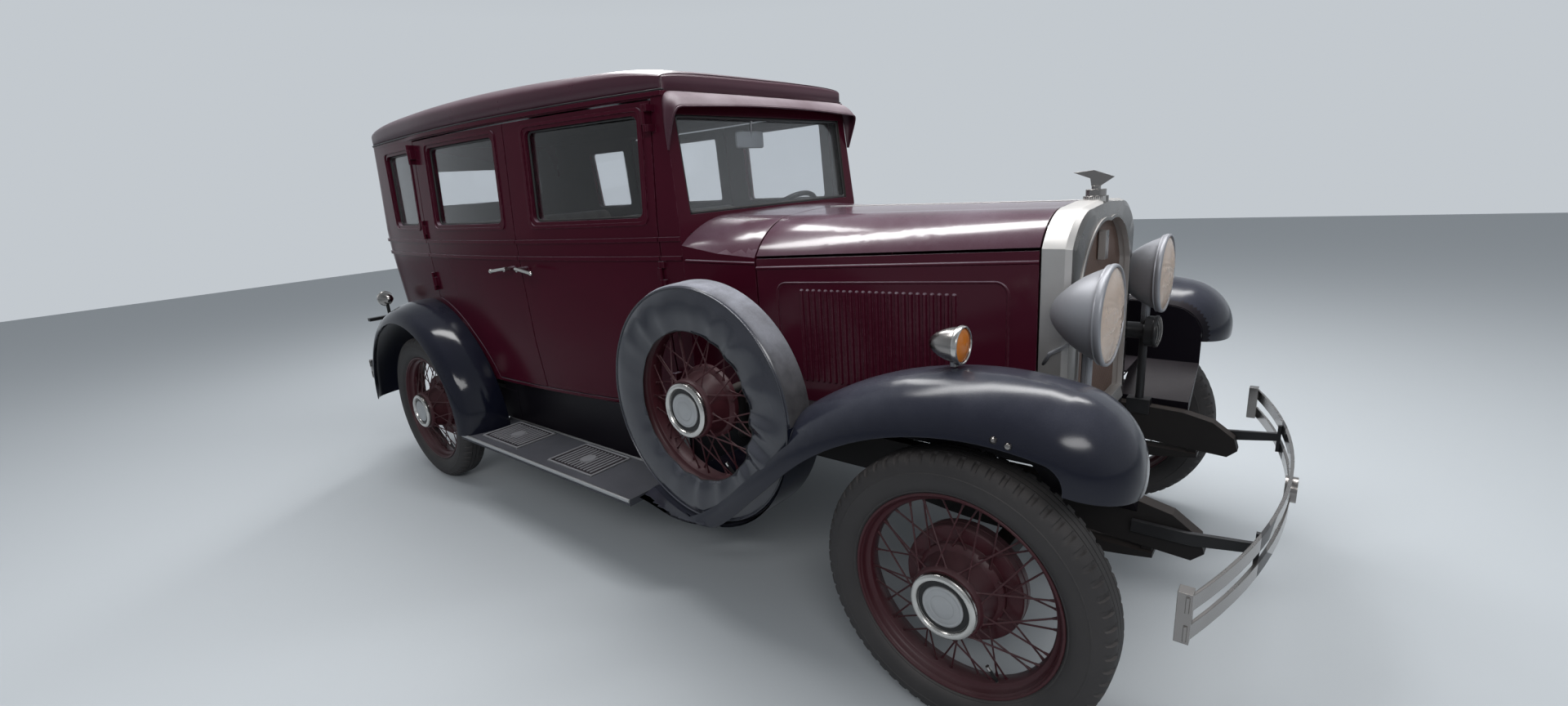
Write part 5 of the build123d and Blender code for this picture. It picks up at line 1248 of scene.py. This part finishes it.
# rubber round the side glass and the windscreen
rubberValues = dict(
    side=0.0045, screen=0.0065, low=1.248, high=1.572, corner=0.022, belt=1.226, tall=0.414, sideLean=0.02,
    sideIn=0.0175, screenLean=0.037, screenX=-1.063, screenIn=0.01, screenEdge=(-0.465, 0.465, 1.25, 1.563, 0.012),
    # half width of the body at the belt, as x from the front axle and y
    bodyPlan=[(-1.063, 0.528), (-2.2, 0.668), (-3.14, 0.612)],
    # name, back and front edge as x from the front axle, body it rides on
    windows=[
        ("front_window", -1.752, -1.211, "door_front_"), ("rear_window", -2.517, -1.968, "door_rear_"),
        ("quarter_window", -2.987, -2.738, None),
    ],
)
v = rubberValues
bodyCircle = circleThrough(v["bodyPlan"])
for word, side, spin in sides:
    for name, rear, front, body in v["windows"]:
        path = []
        for px, pz in roundedLoop(axleX + rear, axleX + front, v["low"], v["high"], v["corner"]):
            lean = v["sideLean"] * (pz - v["belt"]) / v["tall"]
            path.append((px + rearReach(px, pz), side * (halfWidth(bodyCircle, px) - lean - v["sideIn"]), pz))
        bits = newBits()
        addTube(bits, path, v["side"], loop=True)
        mesh = bitsToMesh(name + "Rubber", bits, ["hardRubber"], 60)
        standPiece(name + "_rubber_" + word, mesh, "plastic", body + word if body else "chassis")
path = [
    (axleX + v["screenX"] - v["screenLean"] * (pz - v["belt"]) / v["tall"] - v["screenIn"], py, pz)
    for py, pz in roundedLoop(*v["screenEdge"])
]
bits = newBits()
addTube(bits, path, v["screen"], loop=True)
standPiece("screen_rubber", bitsToMesh("screenRubber", bits, ["hardRubber"], 60), "plastic")
print("window rubbers built")


# plate that closes the gap from splash apron to rear fender, as x from the front axle and z
apronEnd = dict(
    outline=[
        (-2.225, 0.333), (-2.372, 0.333), (-2.392, 0.36), (-2.398, 0.4), (-2.392, 0.452), (-2.372, 0.478),
        (-2.225, 0.478),
    ],
    y=0.58, thick=0.0028, edge=0.0006, inset=0.994, middle=(-2.31, 0.405),
)
for word, side, spin in sides:
    v, rings = apronEnd, []
    mx, mz = v["middle"]
    for out, inset in (
        (0.0, v["inset"]), (v["edge"], 1.0), (v["thick"] - v["edge"], 1.0), (v["thick"], v["inset"]),
    ):
        rings.append([
            (axleX + mx + (px - mx) * inset, side * (v["y"] + out), mz + (pz - mz) * inset)
            for px, pz in v["outline"]
        ])
    bits = newBits()
    addRings(bits, rings, ends=[0, 0])
    standPiece("apron_end_" + word, bitsToMesh("apronEnd", bits, ["apronPaint"], 35), "black")

# horn: bell with a rolled rim, and a grille of bars before a dark throat
horn = dict(
    at=(0.205, 0.338, 0.781), radius=0.05, bars=7, barRadius=0.0014, barOut=0.005, fill=0.92, rise=0.01,
    # share of the radius, distance before the face
    bell=[
        (0.0, 0.0), (0.86, 0.0), (0.94, 0.003), (1.0, 0.006), (1.05, 0.003), (1.05, -0.004), (0.96, -0.01),
        (0.7, -0.024), (0.48, -0.04), (0.0, -0.041),
    ],
)
bits = newBits()
size = horn["radius"]
turnProfile(bits, [(size * share, out) for share, out in horn["bell"]], 48, closed=False)
facingAhead(bits)
for k in range(horn["bars"]):
    across = (2 * (k + 0.5) / horn["bars"] - 1) * size * horn["fill"]
    half = math.sqrt(size * size * horn["fill"] - across * across)
    bar = []
    for j in range(9):
        z = half * (2 * j / 8 - 1)
        bar.append((horn["barOut"] + horn["rise"] * (1 - (z * z + across * across) / (size * size)), across, z))
    addTube(bits, bar, horn["barRadius"], 6, 1)
x, y, z = horn["at"]
mesh = bitsToMesh("hornGrille", bits, ["blackPaint", "rimPlate"], 40)
standPiece("horn_grille", mesh, "chrome", at=(axleX + x, y, z))

# two round-headed bolts low on each front fender, seated on its outer face
bolts = dict(at=[(0.125, 0.809), (0.155, 0.802)], radius=0.0082, tall=0.0046, sunk=0.002, steps=5)
bpy.context.view_layer.update()
for word, side, spin in sides:
    v, bits = bolts, newBits()
    for boltX, boltZ in v["at"]:
        found, where, facing, index = sheets["front_fenders"].ray_cast(
            Vector((axleX + boltX, side * 1.2, boltZ)), Vector((0, -side, 0)),
        )
        if not found:
            print("bolt missed the fender at", boltX, boltZ)
            continue
        low = where - facing * v["sunk"]
        for k in range(v["steps"]):
            a, b = math.radians(90 * k / v["steps"]), math.radians(90 * (k + 1) / v["steps"])
            start = low + facing * (v["sunk"] + v["tall"] * math.sin(a)) * (k > 0)
            end = low + facing * (v["sunk"] + v["tall"] * math.sin(b))
            addRod(bits, start, end, v["radius"] * math.cos(a), max(0.0003, v["radius"] * math.cos(b)), sides=18)
    standPiece("fender_bolts_" + word, bitsToMesh("fenderBolts", bits, ["rimPlate"], 50), "iron")

# step plates: a dark pan over the flat ribs, round ribs, a bead round the edge and a centre disc
plates = dict(
    long=0.282, wide=0.177, panLow=0.0004, panHigh=0.0036, bead=0.0042, beadUp=0.0034, ribs=12, pitch=0.0208,
    rib=0.0036, reach=0.074, disc=0.03, discLow=0.001, discHigh=0.0084,
)
for word, side, spin in sides:
    for name, at in zip(("rear", "front"), limits["plateX"]):
        v, bits = plates, newBits()
        x, y, z = axleX + at, side * limits["plateY"], boardTop
        a, b = v["long"] / 2, v["wide"] / 2
        rim = roundedLoop(x - a, x + a, y - b, y + b, 0.004, 4, 10)
        pan = [[(px, py, z + height) for px, py in rim] for height in (v["panLow"], v["panHigh"])]
        addRings(bits, pan, ends=[0, 0])
        addTube(bits, [(px, py, z + v["beadUp"]) for px, py in rim], v["bead"], 8, 1, loop=True)
        for k in range(v["ribs"]):
            ribX, ribZ = x + (k - (v["ribs"] - 1) / 2) * v["pitch"], z + v["panHigh"]
            addRod(bits, (ribX, y - v["reach"], ribZ), (ribX, y + v["reach"], ribZ), v["rib"], sides=10, number=1)
        addRod(bits, (x, y, z + v["discLow"]), (x, y, z + v["discHigh"]), v["disc"], sides=48, number=1)
        mesh = bitsToMesh("stepPlate", bits, ["apronPaint", "ribRubber"], 35)
        standPiece("step_plate_" + name + "_" + word, mesh, "tyre")

# rear-view mirror on a stem from the roof; rings as distance behind the glass and growth
mirror = dict(
    at=(-1.122, -0.078, 1.492), wide=0.15, tall=0.062, corner=0.012, stem=0.06, stemRadius=0.004,
    rings=[(0.004, -0.003), (0.0, 0.0), (-0.007, 0.0), (-0.01, -0.004)],
)
v, bits = mirror, newBits()
x, y, z = axleX + v["at"][0], v["at"][1], v["at"][2]
outline = roundedLoop(-v["wide"] / 2, v["wide"] / 2, -v["tall"] / 2, v["tall"] / 2, v["corner"], 5, 6)
rings = []
for depth, grow in v["rings"]:
    factor = 1 + grow / (v["tall"] / 2)
    rings.append([(x + depth, y + a * factor, z + b * factor) for a, b in outline])
addRings(bits, rings, ends=[0, 1])
addRod(bits, (x + 0.003, y, z + 0.01), (x + 0.018, y, z + v["stem"] + 0.035), v["stemRadius"], sides=10)
standPiece("rear_view_mirror", bitsToMesh("rearViewMirror", bits, ["capSilver", "chromePlate"], 35), "chrome")
print("small fittings built")


# camera as solved from the photograph, angles in degrees and focal length in pixels
view = dict(
    place=(2.1306, -2.0157, 1.3378), yaw=129.8875, pitch=-14.773, roll=-3.992, focal=801.7, frameWide=1920,
    sensor=36.0,
)
yaw, pitch, roll = (math.radians(view[k]) for k in ("yaw", "pitch", "roll"))
ahead = Vector((math.cos(yaw) * math.cos(pitch), math.sin(yaw) * math.cos(pitch), math.sin(pitch)))
across = Vector((math.sin(yaw), -math.cos(yaw), 0))
above = across.cross(ahead)
rightWay = math.cos(roll) * across + math.sin(roll) * above
upWay = -math.sin(roll) * across + math.cos(roll) * above
cameraData = bpy.data.cameras.new("photoCamera")
cameraData.sensor_width = view["sensor"]
cameraData.lens = view["focal"] / view["frameWide"] * view["sensor"]
cameraData.clip_start, cameraData.clip_end = 0.05, 100
camera = bpy.data.objects.new("photoCamera", cameraData)
camera.matrix_world = Matrix([*zip(rightWay, upWay, -ahead, view["place"]), (0, 0, 0, 1)])
bpy.context.scene.collection.objects.link(camera)
bpy.context.scene.camera = camera

studio = dict(
    ambient=0.62, zenith=0.34, ambientColour=(0.88, 0.94, 1.0), farSide=0.62, floorColour=(0.5, 0.53, 0.555),
    floorHalf=14.0,
    # name, place, aim, size across and along, power
    panels=[
        ("ceilingPanel", (0.6, 0.4, 4.4), (0.4, 0.2, 0.5), 0.8, 6.5, 210.0),
        ("ceilingFar", (-2.6, 1.8, 4.2), (-1.0, 0.0, 0.8), 0.8, 5.0, 110.0),
        ("rightPanel", (4.0, -4.4, 4.0), (0.6, -0.4, 0.8), 3.6, 1.4, 105.0),
    ],
)
world = bpy.data.worlds.new("studioWorld")
bpy.context.scene.world = world
world.use_nodes = True
sky = world.node_tree
# darker to the zenith, and a little darker in the half of the hall away from the wall
way = put(sky, "SeparateXYZ", {"Vector": put(sky, "TexCoord")["Generated"]})
level = ranged(sky, way["Z"], 0.22, 0.70, studio["ambient"], studio["zenith"])
farShare = ranged(sky, way["Y"], -0.75, -0.10, studio["farSide"], 1.0)
fill(sky, sky.nodes["Background"].inputs, {
    "Color": (*studio["ambientColour"], 1), "Strength": maths(sky, "MULTIPLY", level, farShare),
})
for name, at, aim, wide, tall, power in studio["panels"]:
    lamp = bpy.data.lights.new(name, "AREA")
    lamp.shape = "ELLIPSE"
    lamp.size, lamp.size_y, lamp.energy = wide, tall, power
    holder = bpy.data.objects.new(name, lamp)
    holder.location = at
    holder.rotation_euler = (Vector(aim) - Vector(at)).to_track_quat("-Z", "Y").to_euler()
    bpy.context.scene.collection.objects.link(holder)

floorMesh = bpy.data.meshes.new("hallFloor")
half = studio["floorHalf"]
floorMesh.from_pydata([(-half, -half, 0), (half, -half, 0), (half, half, 0), (-half, half, 0)], [], [(0, 1, 2, 3)])
hallFloor = bpy.data.objects.new("hallFloor", floorMesh)
bpy.context.scene.collection.objects.link(hallFloor)
floorFinish, tree, shader = newMaterial("floorPaint")
fill(tree, shader, {"Base Color": (*studio["floorColour"], 1), "Roughness": 0.55})
floorMesh.materials.append(floorFinish)
bpy.context.scene.view_settings.view_transform = "Standard"
print("camera, lights and floor placed")
